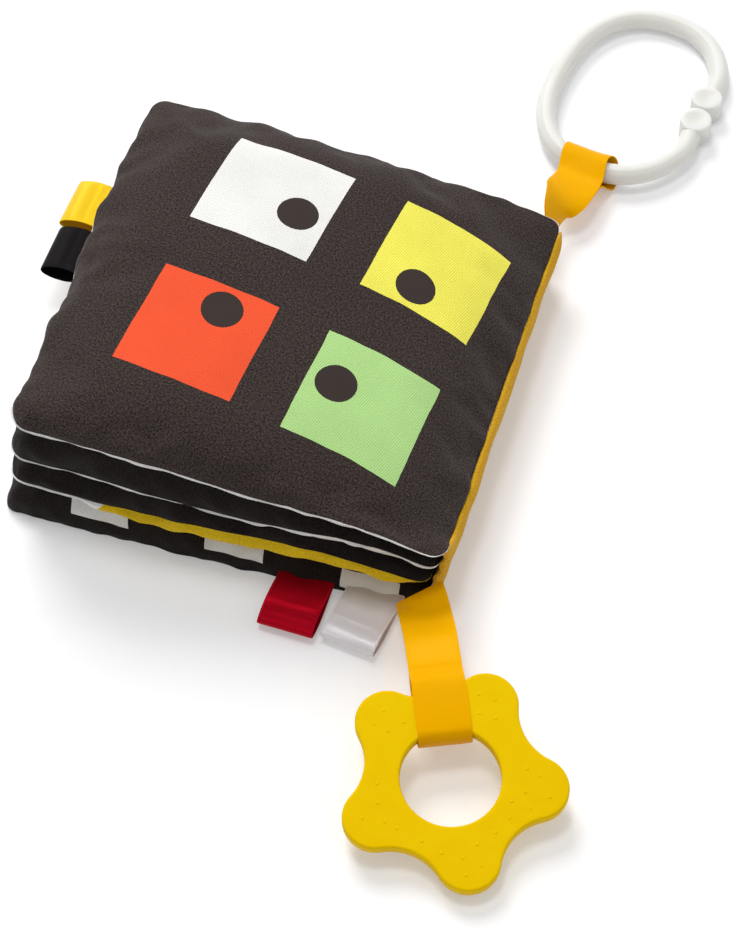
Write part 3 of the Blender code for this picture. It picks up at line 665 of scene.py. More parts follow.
def printed_twill(name, ground, shade, prints=(), pitch=None):
    """Polyester twill with motifs printed on it, which repeat if a pitch is given."""
    material, tree, shader = new_material(name)
    flat = add_node(tree, "ShaderNodeUVMap", uv_map="flat_cloth").outputs[0]
    specks = clouds(tree, flat, *SPECK_NOISE)
    colour = mixed(tree, ranged(tree, specks, *SPECK_FADE, 0, 1), linear(shade), linear(ground))
    place = repeated(tree, flat, pitch) if pitch else flat
    for ink, *motif in prints:
        colour = mixed(tree, motif_mask(tree, place, *motif), colour, linear(ink))
    turned = add_node(tree, "ShaderNodeMapping", {"Vector": flat, "Rotation": (0, 0, TWILL_TURN)})
    bands = {"Vector": turned.outputs[0], "Scale": band_scale(TWILL_PITCH), **TWILL_WANDER}
    lines = add_node(tree, "ShaderNodeTexWave", bands).outputs[1]
    weave = reckoned(tree, "MULTIPLY_ADD", specks, SPECK_RELIEF, lines)
    # Painted shade and light: the colour is darkened in the twill's grooves and lightened on its
    # ridges
    painted_shade_and_light = ranged(tree, weave, *GROOVE_DEPTHS, *PAINTED_GROOVE_SHADE_AND_RIDGE_LIGHT)
    wear = ranged(tree, clouds(tree, flat, *WEAR_NOISE), *NOISE_MIDDLE, *WEAR_LIGHT)
    light = {0: colour, "Scale": reckoned(tree, "MULTIPLY", painted_shade_and_light, wear)}
    woven = add_node(tree, "ShaderNodeVectorMath", light, operation="SCALE").outputs[0]
    bump = relief(tree, weave, *TWILL_BUMP)
    feed(tree, shader, {"Base Color": woven, "Normal": bump, **TWILL_SURFACE})
    return material


CHARCOAL = "#51443f"
CHARCOAL_SHADE = "#141010"
CHARCOAL_INK = "#3d332f"
BLACK = "#2a2321"
BLACK_SHADE = "#171210"
WHITE = "#f1f0ec"
WHITE_SHADE = "#e2dfdc"
GOLDEN = "#dca60f"

# The cover's print is four plain tilted squares, each with a dot, and the rest is bare.
# Each row of a print: colour, centre, turn, corners, reach
TILT = math.radians(-6)
COVER_DOT = 0.0062
COVER_PRINT = (
    (WHITE, (-0.0170, 0.0304), TILT, 4, 0.0186),
    (CHARCOAL_INK, (-0.0080, 0.0262), 0, 0, COVER_DOT),
    ("#faf260", (0.0365, 0.0245), TILT, 4, 0.0182),
    (CHARCOAL_INK, (0.0320, 0.0150), 0, 0, COVER_DOT),
    ("#f95a34", (-0.0225, -0.0248), TILT, 4, 0.0180),
    (CHARCOAL_INK, (-0.0180, -0.0155), 0, 0, COVER_DOT),
    ("#b6e08e", (0.0292, -0.0308), TILT, 4, 0.0182),
    (CHARCOAL_INK, (0.0200, -0.0275), 0, 0, COVER_DOT),
)

# Inside, bold plain shapes stay clear of the seams: rings, diamonds and separate shapes
MIDDLE = (-0.003, 0.002)
RINGS = ((WHITE, 0.0400), (BLACK, 0.0300), (WHITE, 0.0200), (BLACK, 0.0100))
PAGE_2_PRINT = [(ink, MIDDLE, 0, 0, reach) for ink, reach in RINGS]
DIAMONDS = ((CHARCOAL, 0.0330), (WHITE, 0.0230), (CHARCOAL, 0.0130))
UNDER_COVER_PRINT = [(ink, MIDDLE, math.radians(45), 4, reach) for ink, reach in DIAMONDS]
PAGE_3_PRINT = (
    (WHITE, (-0.030, 0.026), 0, 4, 0.0170),
    (WHITE, (0.024, 0.026), 0, 0, 0.0190),
    (WHITE, (-0.030, -0.026), 0, 0, 0.0190),
    (WHITE, (0.024, -0.026), 0, 3, 0.0115),
)
UNDER_PAGE_2_PRINT = (
    (CHARCOAL, (-0.030, 0.0), 0, 0, 0.0190),
    (CHARCOAL, (0.024, 0.0), 0, 4, 0.0170),
)

# The back cover is checked with white squares of 18 mm that repeat. Page 3 is yellow below, with
# white at its fore-edge. The golden outer cloth keeps a black border.
CHECK_PRINT = ((WHITE, (0.0084, 0.0246), 0, 4, 0.0090),)
CHECK_PITCH = 0.0416
UNDER_PAGE_3_PRINT = ((WHITE, (-0.0770, -0.0660), 0, 4, 0.0415),)
BORDER_PRINT = ((GOLDEN, (0, 0), 0, 4, 0.0560),)

# The leaves from the floor up: body, slot, and each panel's cloth as name, ground, shade and print
LEAVES = (
    (
        "back_cover",
        "checked_cloth",
        ("black_twill_with_white_checks", BLACK, BLACK_SHADE, CHECK_PRINT, CHECK_PITCH),
        ("golden_twill_with_black_border", BLACK, BLACK_SHADE, BORDER_PRINT),
    ),
    (
        "page_3",
        "black_cloth",
        ("black_twill_with_white_shapes", BLACK, BLACK_SHADE, PAGE_3_PRINT),
        ("yellow_and_white_twill", "#ecc81e", "#d8b012", UNDER_PAGE_3_PRINT),
    ),
    (
        "page_2",
        "black_cloth",
        ("black_twill_with_white_rings", BLACK, BLACK_SHADE, PAGE_2_PRINT),
        ("white_twill_with_charcoal_shapes", WHITE, WHITE_SHADE, UNDER_PAGE_2_PRINT),
    ),
    (
        "front_cover",
        "black_cloth",
        ("charcoal_twill_with_coloured_squares", CHARCOAL, CHARCOAL_SHADE, COVER_PRINT),
        ("white_twill_with_diamonds", WHITE, WHITE_SHADE, UNDER_COVER_PRINT),
    ),
)
CRINKLED = ("page_2", "front_cover")
for level, (body, slot, upper_cloth, lower_cloth) in enumerate(LEAVES):
    cloths = (printed_twill(*upper_cloth), printed_twill(*lower_cloth))
    leaf, seam, freedom = sewn_leaf(body + "_padded_leaf", level, *cloths)
    stuff(leaf, seam, freedom)
    rounding = leaf.modifiers.new("fine_cloth", "SUBSURF")
    rounding.levels = 1
    rounding.render_levels = 1
    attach(leaf, body)
    inner = [body + "_wadding"] + ([body + "_crinkle_film"] if body in CRINKLED else [])
    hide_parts(body + "_upper_cloth", body + "_lower_cloth", *inner)


# Spine cloth
#
# A golden strip of the same polyester closes the spine. It runs from seam to seam and bellies out a
# little between the leaves, so that each can be turned.

SPINE_BELLY = 0.0022
SPINE_BELLY_LEAST = 0.35
SPINE_WAVE = 0.35
SPINE_WAVE_LENGTH = 0.012
SPINE_SEED_SPACING = 5.1
SPINE_STEPS = 8
SPINE_LENGTH_STEPS = 60
SPINE_END_SHORT = 0.0035
SPINE_CLOTH_THICKNESS = 0.0008


def bm_object(name, bm, material):
    """Turns a finished bmesh into an object."""
    mesh = bpy.data.meshes.new(name)
    bm.to_mesh(mesh)
    bm.free()
    mesh.materials.append(material)
    return new_object(name, mesh)


def seam_end(level, y):
    """Where a leaf's seam runs along the spine."""
    x, moved_y = page_point(level, lying_width(level) / 2, y)
    return Vector((x, moved_y, bed_height(level, x) + seam_rise(level, x, moved_y)))


def spine_strip(name, level, material):
    """The spine cloth from the seam of one leaf to the seam of the next one up."""
    reach = PAGE_HEIGHT / 2 - SPINE_END_SHORT
    bm = bmesh.new()
    uv_map = bm.loops.layers.uv.new("flat_cloth")
    rows = []
    for row in range(SPINE_LENGTH_STEPS + 1):
        y = reach * (2 * row / SPINE_LENGTH_STEPS - 1)
        low, high = [seam_end(leaf, y) for leaf in (level, level + 1)]
        ends = math.sqrt(min(1, (reach - abs(y)) / CORNER_RADIUS))
        line = []
        for step in range(SPINE_STEPS + 1):
            share = step / SPINE_STEPS
            place = low.lerp(high, share)
            spot = Vector((y / SPINE_WAVE_LENGTH, share * 2, level * SPINE_SEED_SPACING))
            wave = 1 + SPINE_WAVE * noise.noise(spot)
            belly = SPINE_BELLY * math.sin(math.pi * share) * wave
            place.x += belly * (SPINE_BELLY_LEAST + (1 - SPINE_BELLY_LEAST) * ends)
            line.append(bm.verts.new(place))
        rows.append(line)
    for before, after in zip(rows, rows[1:]):
        for step in range(SPINE_STEPS):
            face = bm.faces.new((before[step], after[step], after[step + 1], before[step + 1]))
            for loop in face.loops:
                loop[uv_map].uv = (loop.vert.co.z, loop.vert.co.y)
    strip = bm_object(name, bm, material)
    strip.data.shade_smooth()
    thick = strip.modifiers.new("cloth", "SOLIDIFY")
    thick.thickness = SPINE_CLOTH_THICKNESS
    thick.offset = 1
    return strip


spine_twill = printed_twill("golden_spine_twill", "#e6b01c", "#cc9812")
bodies = [leaf[0] for leaf in LEAVES]
for level, (lower_body, upper_body) in enumerate(zip(bodies, bodies[1:])):
    strip = spine_strip(lower_body + "_spine_strip", level, spine_twill)
    seam_end(level, 0)
    seam_end(level + 1, 0)
    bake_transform(strip)
    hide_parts(lower_body + "_spine_cloth")


# Satin tags
#
# Four short loops of double-face satin ribbon, folded in half and caught in the seams. Satin has a
# bright band where it bends round, fine lines along its length and a firm woven edge.

UP = Vector((0, 0, 1))
TAG_WIDTH = 0.0168
TAG_TAIL = 0.003
TAG_END_REACH = 0.0072
TAG_FLARE_STEPS = 14
RIBBON_THICKNESS = 0.0004
LAYER_GAP = 0.0002
NECK = (RIBBON_THICKNESS + LAYER_GAP) / 2
NECK_STEP = 0.002
EDGE_THREAD = 0.0007
EDGE_THINNESS = 0.55
ACROSS_STEPS = 10
END_STEPS = 24
CRISP_ANGLE = math.radians(50)
SATIN_LINE_PITCH = 0.0006
SATIN_WANDER = {"Distortion": 0.4, "Detail": 1.0}
SATIN_PICK_SCALES = (160, 2600, 1)
SATIN_PICK_RELIEF = 0.8
SATIN_DEPTHS = (0.2, 1.6)
SATIN_BUMP = (0.35, 0.00005)
SATIN_EDGE = (0.93, 0.95)
SATIN_ROUGHNESS = (0.27, 0.6)


def satin(name, colour, shade, gloss, lustre):
    """Polyester satin ribbon: long smooth floats that shine along the weave, and woven edges."""
    material, tree, shader = new_material(name)
    place = add_node(tree, "ShaderNodeUVMap", uv_map="ribbon").outputs[0]
    bands = {"Vector": place, "Scale": band_scale(SATIN_LINE_PITCH), **SATIN_WANDER}
    lines = add_node(tree, "ShaderNodeTexWave", bands, bands_direction="X").outputs[1]
    drawn = add_node(tree, "ShaderNodeMapping", {"Vector": place, "Scale": SATIN_PICK_SCALES})
    picks = clouds(tree, drawn.outputs[0], 1.0, 2)
    weave = reckoned(tree, "MULTIPLY_ADD", picks, SATIN_PICK_RELIEF, lines)
    share = add_node(tree, "ShaderNodeSeparateXYZ", {0: place}).outputs[0]
    from_middle = reckoned(tree, "ABSOLUTE", share)
    tone = ranged(tree, weave, *SATIN_DEPTHS, 0, 1)
    surface = {
        "Base Color": mixed(tree, tone, linear(shade), linear(colour)),
        "Roughness": ranged(tree, from_middle, *SATIN_EDGE, *SATIN_ROUGHNESS),
        "Normal": relief(tree, weave, *SATIN_BUMP),
        "IOR": 1.5,
        "Specular IOR Level": gloss,
        "Specular Tint": linear(colour),
        "Anisotropic": 0.6,
        "Metallic": lustre,
    }
    feed(tree, shader, surface)
    return material


def keep_edges_crisp(bm, angle):
    """Smooth shading everywhere but over edges that turn by more than the angle."""
    for face in bm.faces:
        face.smooth = True
    for edge in bm.edges:
        edge.smooth = edge.calc_face_angle(math.pi) < angle


def level_way(turn):
    return Vector((math.cos(turn), math.sin(turn), 0))


def run_lengths(points):
    """Each point's distance from the first, along the run."""
    lengths = [0.0]
    for before, point in zip(points, points[1:]):
        lengths.append(lengths[-1] + (point - before).length)
    return lengths


def heading(points, index):
    """The way that a run of points goes at one of them."""
    return (points[min(index + 1, len(points) - 1)] - points[max(index - 1, 0)]).normalized()


def ribbon_mesh(name, runs, width, material, gathers=None):
    """Flat ribbon along one or more runs of points, each with the direction of its width. Gathers
    gives the share of its width that the ribbon has at each point, where it is drawn together."""
    bm = bmesh.new()
    uv_map = bm.loops.layers.uv.new("ribbon")
    shares = [2 * step / ACROSS_STEPS - 1 for step in range(ACROSS_STEPS + 1)]
    shares[1] = -1 + 2 * EDGE_THREAD / width
    shares[-2] = 1 - 2 * EDGE_THREAD / width
    section = [(share, 1) for share in shares] + [(share, -1) for share in reversed(shares)]
    for points, wides in runs:
        rows = []
        for index, (point, far) in enumerate(zip(points, run_lengths(points))):
            along = heading(points, index)
            wide = (wides[index] - along * wides[index].dot(along)).normalized()
            normal = along.cross(wide).normalized()
            row = []
            for share, face in section:
                half = RIBBON_THICKNESS / 2 * (EDGE_THINNESS if abs(share) == 1 else 1)
                reach = share * width / 2 * (gathers[index] if gathers else 1)
                spot = point + wide * reach + normal * (face * half)
                row.append((bm.verts.new(spot), share, far))
            rows.append(row)
        for first, second in zip(rows, rows[1:]):
            for corner in range(len(section)):
                other = (corner + 1) % len(section)
                quad = (first[corner], first[other], second[other], second[corner])
                face = bm.faces.new([vertex for vertex, _, _ in quad])
                for loop, (_, share, far) in zip(face.loops, quad):
                    loop[uv_map].uv = (share, far)
        bm.faces.new([vertex for vertex, _, _ in rows[0]])
        bm.faces.new([vertex for vertex, _, _ in reversed(rows[-1])])
    bmesh.ops.recalc_face_normals(bm, faces=bm.faces)
    keep_edges_crisp(bm, CRISP_ANGLE)
    return bm_object(name, bm, material)


def folded_profile(neck_length, flare_length, full_length, radius, flare_steps, end_reach):
    """Side view of a folded ribbon, as distances out and heights: out below and back above."""
    lower = [(0, -NECK)]
    if neck_length > 0:
        steps = max(2, round(neck_length / NECK_STEP))
        lower += [(neck_length * step / steps, -NECK) for step in range(1, steps + 1)]
    for step in range(1, flare_steps + 1):
        share = step / flare_steps
        height = NECK + (radius - NECK) * smooth_share(share, 0, 1)
        lower.append((neck_length + flare_length * share, -height))
    centre = neck_length + flare_length + full_length
    if full_length > 0:
        lower.append((centre, -radius))
    angles = [math.pi * (step / END_STEPS - 0.5) for step in range(1, END_STEPS)]
    end = [(centre + end_reach * math.cos(angle), radius * math.sin(angle)) for angle in angles]
    return lower + end + [(distance, -height) for distance, height in reversed(lower)]


def placed(profile, start, outward, wide):
    """Turns a side view into points, with the width direction at each."""
    normal = wide.cross(outward).normalized()
    points = [start + outward * distance + normal * height for distance, height in profile]
    return points, [wide] * len(points)


def satin_tag(name, body, colours, length, radius, turn, root_rise, end_rise):
    """A tag in the place of its solid, from the height of its seam to that of its round end."""
    low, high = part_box(name)
    middle = (low + high) / 2
    if high.x - low.x < high.y - low.y:
        seam = Vector((middle.x, high.y - TAG_TAIL, low.z + root_rise))
        way = Vector((math.sin(turn), -math.cos(turn), 0))
    else:
        seam = Vector((high.x - TAG_TAIL, middle.y, low.z + root_rise))
        way = Vector((-math.cos(turn), math.sin(turn), 0))
    run = length - TAG_END_REACH
    outward = (way * run + UP * (end_rise - root_rise)).normalized()
    wide = outward.cross(UP).normalized()
    middle_radius = radius - RIBBON_THICKNESS / 2
    profile = folded_profile(TAG_TAIL, run, 0, middle_radius, TAG_FLARE_STEPS, TAG_END_REACH)
    points, wides = placed(profile, seam - outward * TAG_TAIL, outward, wide)
    tag = ribbon_mesh(name + "_ribbon", [(points, wides)], TAG_WIDTH, satin(*colours))
    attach(tag, body)
    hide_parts(name)


# Each satin: name, colour, shade, gloss, lustre
RED_SATIN = ("red_satin_ribbon", "#c10c26", "#a3081c", 2.0, 0.35)
GREY_SATIN = ("silver_grey_satin_ribbon", "#f0edf0", "#e4e0e4", 1.0, 0.2)
YELLOW_SATIN = ("yellow_satin_ribbon", "#fbd52c", "#f3c412", 0.5, 0.1)
BLACK_SATIN = ("black_satin_ribbon", "#1d1b1c", "#121011", 4.0, 0.0)
RED_TURN = math.radians(-3)
GREY_TURN = math.radians(-9)
satin_tag("red_tag", "back_cover", RED_SATIN, 0.0205, 0.0024, RED_TURN, 0.0022, 0.0026)
satin_tag("grey_tag", "back_cover", GREY_SATIN, 0.0205, 0.0023, GREY_TURN, 0.0022, 0.0025)
satin_tag("yellow_tag", "page_3", YELLOW_SATIN, 0.0183, 0.0031, 0.04, 0.0034, 0.0030)
satin_tag("black_tag", "page_3", BLACK_SATIN, 0.0178, 0.0033, 0.02, 0.0034, 0.0032)


# Link ring
#
# A moulded polypropylene oval of nearly round section. It is open at its side, where its two round
# heads meet, so that it clips on. It runs through the ribbon's loop and rests on the floor.

joints = {joint["name"]: Vector(joint["pos_m"]) for joint in frame["joints"]}
RING_HEADING = math.radians(79.0)
RING_TURNED = math.radians(3.4)
RING_SLID = 0.0017
RING_LENGTH = 0.0792
RING_WIDTH = 0.0590
RING_ROUND = 0.190
RING_TUBE = 0.0071
RING_SQUARENESS = 2.3
RING_RIB_HEIGHT = 0.00022
RING_RIB_HALF_WIDTH = math.radians(24)
RING_HEAD_DIAMETER = 0.0102
RING_HEAD_THICKNESS = 0.0077
RING_HEAD_ROUNDING = 0.0005
RING_HEAD_DIMPLE = 0.0009
RING_HEAD_DIMPLE_REACH = 0.0034
RING_HEAD_MIDDLE = 0.0001
RING_HEAD_GAP = 0.0006
RING_HEAD_INSET = 0.0022
RING_HEAD_BEND = 0.013
RING_HEADS_ANGLE = math.radians(-90.2)
RING_TUBE_END = 0.0033
RING_STEPS = 180
RING_SIDES = 48
ROUNDING_STEPS = 6
DIMPLE_STEPS = 10
ANGLE_STEP = 0.01
RING_CRISP_ANGLE = math.radians(42)

# Sizes of the solids' ring and ribbon, which give the loop its room
CAD_RING_LENGTH = 0.076
CAD_RING_WIDTH = 0.060
CAD_RING_TUBE = 0.0074
CAD_RIBBON_WIDTH = 0.016
RING_TURN_CLEARANCE = 0.00035

ring_long = RING_LENGTH / 2 - RING_TUBE / 2
ring_short = RING_WIDTH / 2 - RING_TUBE / 2


def oval_point(angle):
    """A point of the ring's middle line, an oval a little squarer than an ellipse."""
    x, y = math.cos(angle), math.sin(angle)
    reach = (abs(x) ** RING_SQUARENESS + abs(y) ** RING_SQUARENESS) ** (-1 / RING_SQUARENESS)
    return Vector((ring_long * x, ring_short * y, 0)) * reach


def oval_step(angle):
    """Two points of the middle line close to each side of an angle, as the step between them."""
    return oval_point(angle + ANGLE_STEP) - oval_point(angle - ANGLE_STEP)


def oval_place(angle, from_end):
    """The tube's middle and its outward side: it bends in a little where it nears a head."""
    side = oval_step(angle).normalized().cross(UP)
    inset = RING_HEAD_INSET * (1 - smooth_share(from_end, 0, RING_HEAD_BEND))
    return oval_point(angle) - side * inset, side


def turned_rows(bm, rows):
    """Skins rows of vertices that go round."""
    for first, second in zip(rows, rows[1:]):
        for corner in range(len(first)):
            other = (corner + 1) % len(first)
            bm.faces.new((first[corner], first[other], second[other], second[corner]))


def capped_rows(bm, rows):
    turned_rows(bm, rows)
    bm.faces.new(rows[0])
    bm.faces.new(list(reversed(rows[-1])))


def moulded(name, low, high, grain, roughnesses, bump, surface):
    """A moulded plastic or rubber, whose colour and gloss vary a little over its uneven skin."""
    material, tree, shader = new_material(name)
    spot = add_node(tree, "ShaderNodeTexCoord").outputs["Object"]
    flow = clouds(tree, spot, *grain)
    inputs = {
        "Base Color": mixed(tree, flow, linear(low), linear(high)),
        "Roughness": ranged(tree, flow, *NOISE_MIDDLE, *roughnesses),
        "Normal": relief(tree, flow, *bump),
    }
    feed(tree, shader, {**inputs, **surface})
    return material


# White polypropylene, injection moulded: smooth, slightly waxy and a little translucent, with soft
# highlights and the faint flow marks of the mould.
POLYPROPYLENE_SURFACE = {
    "IOR": 1.49,
    "Specular IOR Level": 0.35,
    "Subsurface Weight": 0.8,
    "Subsurface Radius": (1, 0.9, 0.8),
    "Subsurface Scale": 0.006,
}
polypropylene = moulded(
    "white_polypropylene",
    "#dcdcd6",
    "#e6e6e1",
    (90, 3),
    (0.42, 0.54),
    (0.12, 0.0004),
    POLYPROPYLENE_SURFACE,
)

# The ring's ends stop short of the heads' middles, inside them
angle_length = oval_step(RING_HEADS_ANGLE).length / (2 * ANGLE_STEP)
half_gap = (RING_HEAD_DIAMETER + RING_HEAD_GAP) / 2 / angle_length
tube_gap = half_gap + RING_TUBE_END / angle_length

turns = [2 * math.pi * corner / RING_SIDES for corner in range(RING_SIDES)]
bm = bmesh.new()
rows = []
for step in range(RING_STEPS + 1):
    angle = RING_HEADS_ANGLE + tube_gap + 2 * (math.pi - tube_gap) * step / RING_STEPS
    from_end = RING_TUBE_END + min(step, RING_STEPS - step) / RING_STEPS * RING_ROUND
    middle, side = oval_place(angle, from_end)
    row = []
    for turn in turns:
        from_top = abs((turn - math.pi / 2 + math.pi) % (2 * math.pi) - math.pi)
        reach = RING_TUBE / 2 - (0 if from_top < RING_RIB_HALF_WIDTH else RING_RIB_HEIGHT)
        row.append(bm.verts.new(middle + (side * math.cos(turn) + UP * math.sin(turn)) * reach))
    rows.append(row)
capped_rows(bm, rows)
bmesh.ops.recalc_face_normals(bm, faces=bm.faces)
link_ring = bm_object("moulded_link_ring", bm, polypropylene)

# The heads are round buttons with a shallow dimple on top
radius = RING_HEAD_DIAMETER / 2
half = RING_HEAD_THICKNESS / 2
lower_edge = []
for step in range(ROUNDING_STEPS + 1):
    turn = math.pi / 2 * step / ROUNDING_STEPS
    inset = RING_HEAD_ROUNDING * (1 - math.sin(turn))
    lower_edge.append((radius - inset, -half + RING_HEAD_ROUNDING * (1 - math.cos(turn))))
upper_edge = [(reach, -height) for reach, height in reversed(lower_edge)]
profile = [(RING_HEAD_MIDDLE, -half), *lower_edge, *upper_edge]
for step in range(DIMPLE_STEPS):
    share = 1 - step / DIMPLE_STEPS
    profile.append((RING_HEAD_DIMPLE_REACH * share, half - RING_HEAD_DIMPLE * (1 - share ** 2)))
profile.append((RING_HEAD_MIDDLE, half - RING_HEAD_DIMPLE))
bm = bmesh.new()
for angle in (RING_HEADS_ANGLE - half_gap, RING_HEADS_ANGLE + half_gap):
    centre = oval_place(angle, 0)[0]
    rows = []
    for reach, height in profile:
        spots = [Vector((math.cos(turn) * reach, math.sin(turn) * reach, height)) for turn in turns]
        rows.append([bm.verts.new(centre + spot) for spot in spots])
    capped_rows(bm, rows)
bmesh.ops.recalc_face_normals(bm, faces=bm.faces)
ring_heads = bm_object("ring_heads", bm, polypropylene)

joined = link_ring.modifiers.new("heads", "BOOLEAN")
joined.operation = "UNION"
joined.solver = "EXACT"
joined.object = ring_heads
evaluated = link_ring.evaluated_get(bpy.context.evaluated_depsgraph_get())
link_ring.data = bpy.data.meshes.new_from_object(evaluated)
link_ring.modifiers.remove(joined)
bpy.data.objects.remove(ring_heads)
bm = bmesh.new()
bm.from_mesh(link_ring.data)
keep_edges_crisp(bm, RING_CRISP_ANGLE)
bm.to_mesh(link_ring.data)
bm.free()

# The loop's room follows the solids' ring, whose end is an ellipse's
cad_long = (CAD_RING_LENGTH - CAD_RING_TUBE) / 2
cad_short = (CAD_RING_WIDTH - CAD_RING_TUBE) / 2
ring_bow = CAD_RIBBON_WIDTH ** 2 / (8 * cad_short ** 2 / cad_long)
ring_loop_inner = CAD_RING_TUBE / 2 + ring_bow / 2 + RING_TURN_CLEARANCE
ring_drop = ring_loop_inner + RIBBON_THICKNESS - RING_TUBE / 2
ring_tilt = math.asin(ring_drop / (2 * ring_long))
ring_turn = RING_HEADING + RING_TURNED
ring_out = level_way(ring_turn)
ring_way = ring_out * math.cos(ring_tilt) - UP * math.sin(ring_tilt)
ring_centre = joints["ring_swing"] - ring_out * (ring_bow / 2) + ring_way * ring_long
ring_centre += ring_out.cross(UP) * RING_SLID
link_ring.data.transform(Matrix.Rotation(ring_turn, 4, "Z") @ Matrix.Rotation(ring_tilt, 4, "Y"))
link_ring.data.transform(Matrix.Translation(ring_centre))
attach(link_ring, "link_ring")
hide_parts("link_ring")


# Ring ribbon
#
# One amber satin ribbon, folded in half round the ring, with its two ends gathered and sewn on
# edge into the back cover's corner at the head. It twists a quarter turn on its way out.

RIBBON_WIDTH = 0.0151
RING_RIBBON_ROOT = Vector((0.0650, 0.0645, 0.0032))
RING_RIBBON_EXIT = Vector((0.0670, 0.0692, 0.0034))
RING_ROOT_LEAN = math.radians(-89)
RING_TWIST_LENGTH = 0.036
RING_SEWN_LENGTH = 0.004
RING_GATHER_LENGTH = 0.025
RING_GATHERED = 0.33
RING_RIBBON_FLARE = 0.009
RING_LOOP_SKEW = 0.0020
STATION_STEP = 0.0011
FLARE_STEPS = 12
RING_LOOP_ROUNDS = 2
BEND_ROUNDS = 8

amber_satin = satin("amber_satin_ribbon", "#fbb800", "#f0a800", 0.15, 0.0)


def eased(points, rounds):
    """Rounds off the corners of a run of points."""
    for _ in range(rounds):
        middle = [(a + b * 2 + c) / 4 for a, b, c in zip(points, points[1:], points[2:])]
        points = [points[0], *middle, points[-1]]
    return points


def stations(corners, first_wide, last_wide, twist_length, sewn_length=0):
    """Points about a millimetre apart along rounded corners, and the ribbon's turning width."""
    points = []
    for start, end in zip(corners, corners[1:]):
        count = round((end - start).length / STATION_STEP)
        points += [start.lerp(end, step / count) for step in range(count)]
    points = eased([*points, corners[-1]], BEND_ROUNDS)
    shares = [smooth_share(far - sewn_length, 0, twist_length) for far in run_lengths(points)]
    return points, [first_wide.lerp(last_wide, share).normalized() for share in shares]


def ply(points, wides, height):
    """One of the ribbon's two layers, beside its middle."""
    moved = []
    for index, (point, wide) in enumerate(zip(points, wides)):
        moved.append(point + wide.cross(heading(points, index)).normalized() * height)
    return moved


def doubled(points, wides, loop_points, loop_wides, rounds):
    """A ribbon in two layers that a loop joins at their end, as one run with eased corners."""
    run = ply(points, wides, -NECK)[:-1] + loop_points + ply(points, wides, NECK)[-2::-1]
    return eased(run, rounds), wides[:-1] + loop_wides + wides[-2::-1]


ring_hinge = joints["ring_ribbon_swing"]
ring_level = level_way(RING_HEADING)
ring_wide = ring_level.cross(UP)
strap_way = (joints["ring_swing"] - ring_hinge).normalized()
flare_start = joints["ring_swing"] - strap_way * RING_RIBBON_FLARE
root_wide = Vector((math.cos(RING_ROOT_LEAN), 0, math.sin(RING_ROOT_LEAN)))
corners = (RING_RIBBON_ROOT, RING_RIBBON_EXIT, ring_hinge, flare_start)
points, wides = stations(corners, root_wide, ring_wide, RING_TWIST_LENGTH, RING_SEWN_LENGTH)
loop_radius = ring_loop_inner + RIBBON_THICKNESS / 2
profile = folded_profile(0, RING_RIBBON_FLARE, 0, loop_radius, FLARE_STEPS, loop_radius)
loop_points, loop_wides = placed(profile, flare_start, strap_way, ring_wide)
skews = [height / loop_radius * RING_LOOP_SKEW for _, height in profile]
loop_points = [point - ring_wide * skew for point, skew in zip(loop_points, skews)]
ring_run, ring_run_wides = doubled(points, wides, loop_points, loop_wides, RING_LOOP_ROUNDS)
lengths = run_lengths(ring_run)
ring_cut = lengths[-1]
gathers = []
for length in lengths:
    from_root = min(length, ring_cut - length) - RING_SEWN_LENGTH
    opened = smooth_share(from_root, 0, RING_GATHER_LENGTH)
    gathers.append(RING_GATHERED + (1 - RING_GATHERED) * opened)
runs = [(ring_run, ring_run_wides)]
ring_ribbon = ribbon_mesh("ring_satin_ribbon", runs, RIBBON_WIDTH, amber_satin, gathers)
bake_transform(ring_ribbon)
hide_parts("ring_ribbon", "ring_ribbon_tail")


# Teether ribbon
#
# The same ribbon at the foot end of the spine, folded round the teether's rim. It bends at two
# places: beside the book, and just before it opens round the rim.

TEETHER_HEADING = math.radians(-67.5)
TEETHER_TILT = math.radians(9.0)
TEETHER_HOLE = 0.014
TEETHER_THICKNESS = 0.0062
TEETHER_SHIFT = 0.0008
CAD_TEETHER_VALLEY = 0.0235
TEETHER_RIBBON_FLARE = 0.006
TEETHER_RIBBON_ROOT = Vector((0.0635, -0.0669, 0.0085))
TEETHER_ROOT_LEAN = math.radians(28)
TEETHER_TWIST_LENGTH = 0.010
FOLD_CLEARANCE = 0.00047
LOOP_ROOM = 0.0007
TEETHER_LOOP_ROUNDS = 4

teether_hinge = joints["teether_ribbon_swing"]
swing_hinge = joints["teether_swing"]
teether_level = level_way(TEETHER_HEADING)
teether_wide = teether_level.cross(UP)
teether_way = teether_level * math.cos(TEETHER_TILT) - UP * math.sin(TEETHER_TILT)
rim_bow = TEETHER_HOLE - math.sqrt(TEETHER_HOLE ** 2 - (CAD_RIBBON_WIDTH / 2) ** 2)
loop_radius = TEETHER_THICKNESS / 2 + LOOP_ROOM + RIBBON_THICKNESS / 2
loop_end_out = TEETHER_HOLE - rim_bow + TEETHER_THICKNESS / 2 - TEETHER_SHIFT
loop_flare_out = CAD_TEETHER_VALLEY + TEETHER_THICKNESS / 2
teether_out = loop_flare_out + TEETHER_RIBBON_FLARE + FOLD_CLEARANCE
teether_centre = swing_hinge + teether_way * teether_out

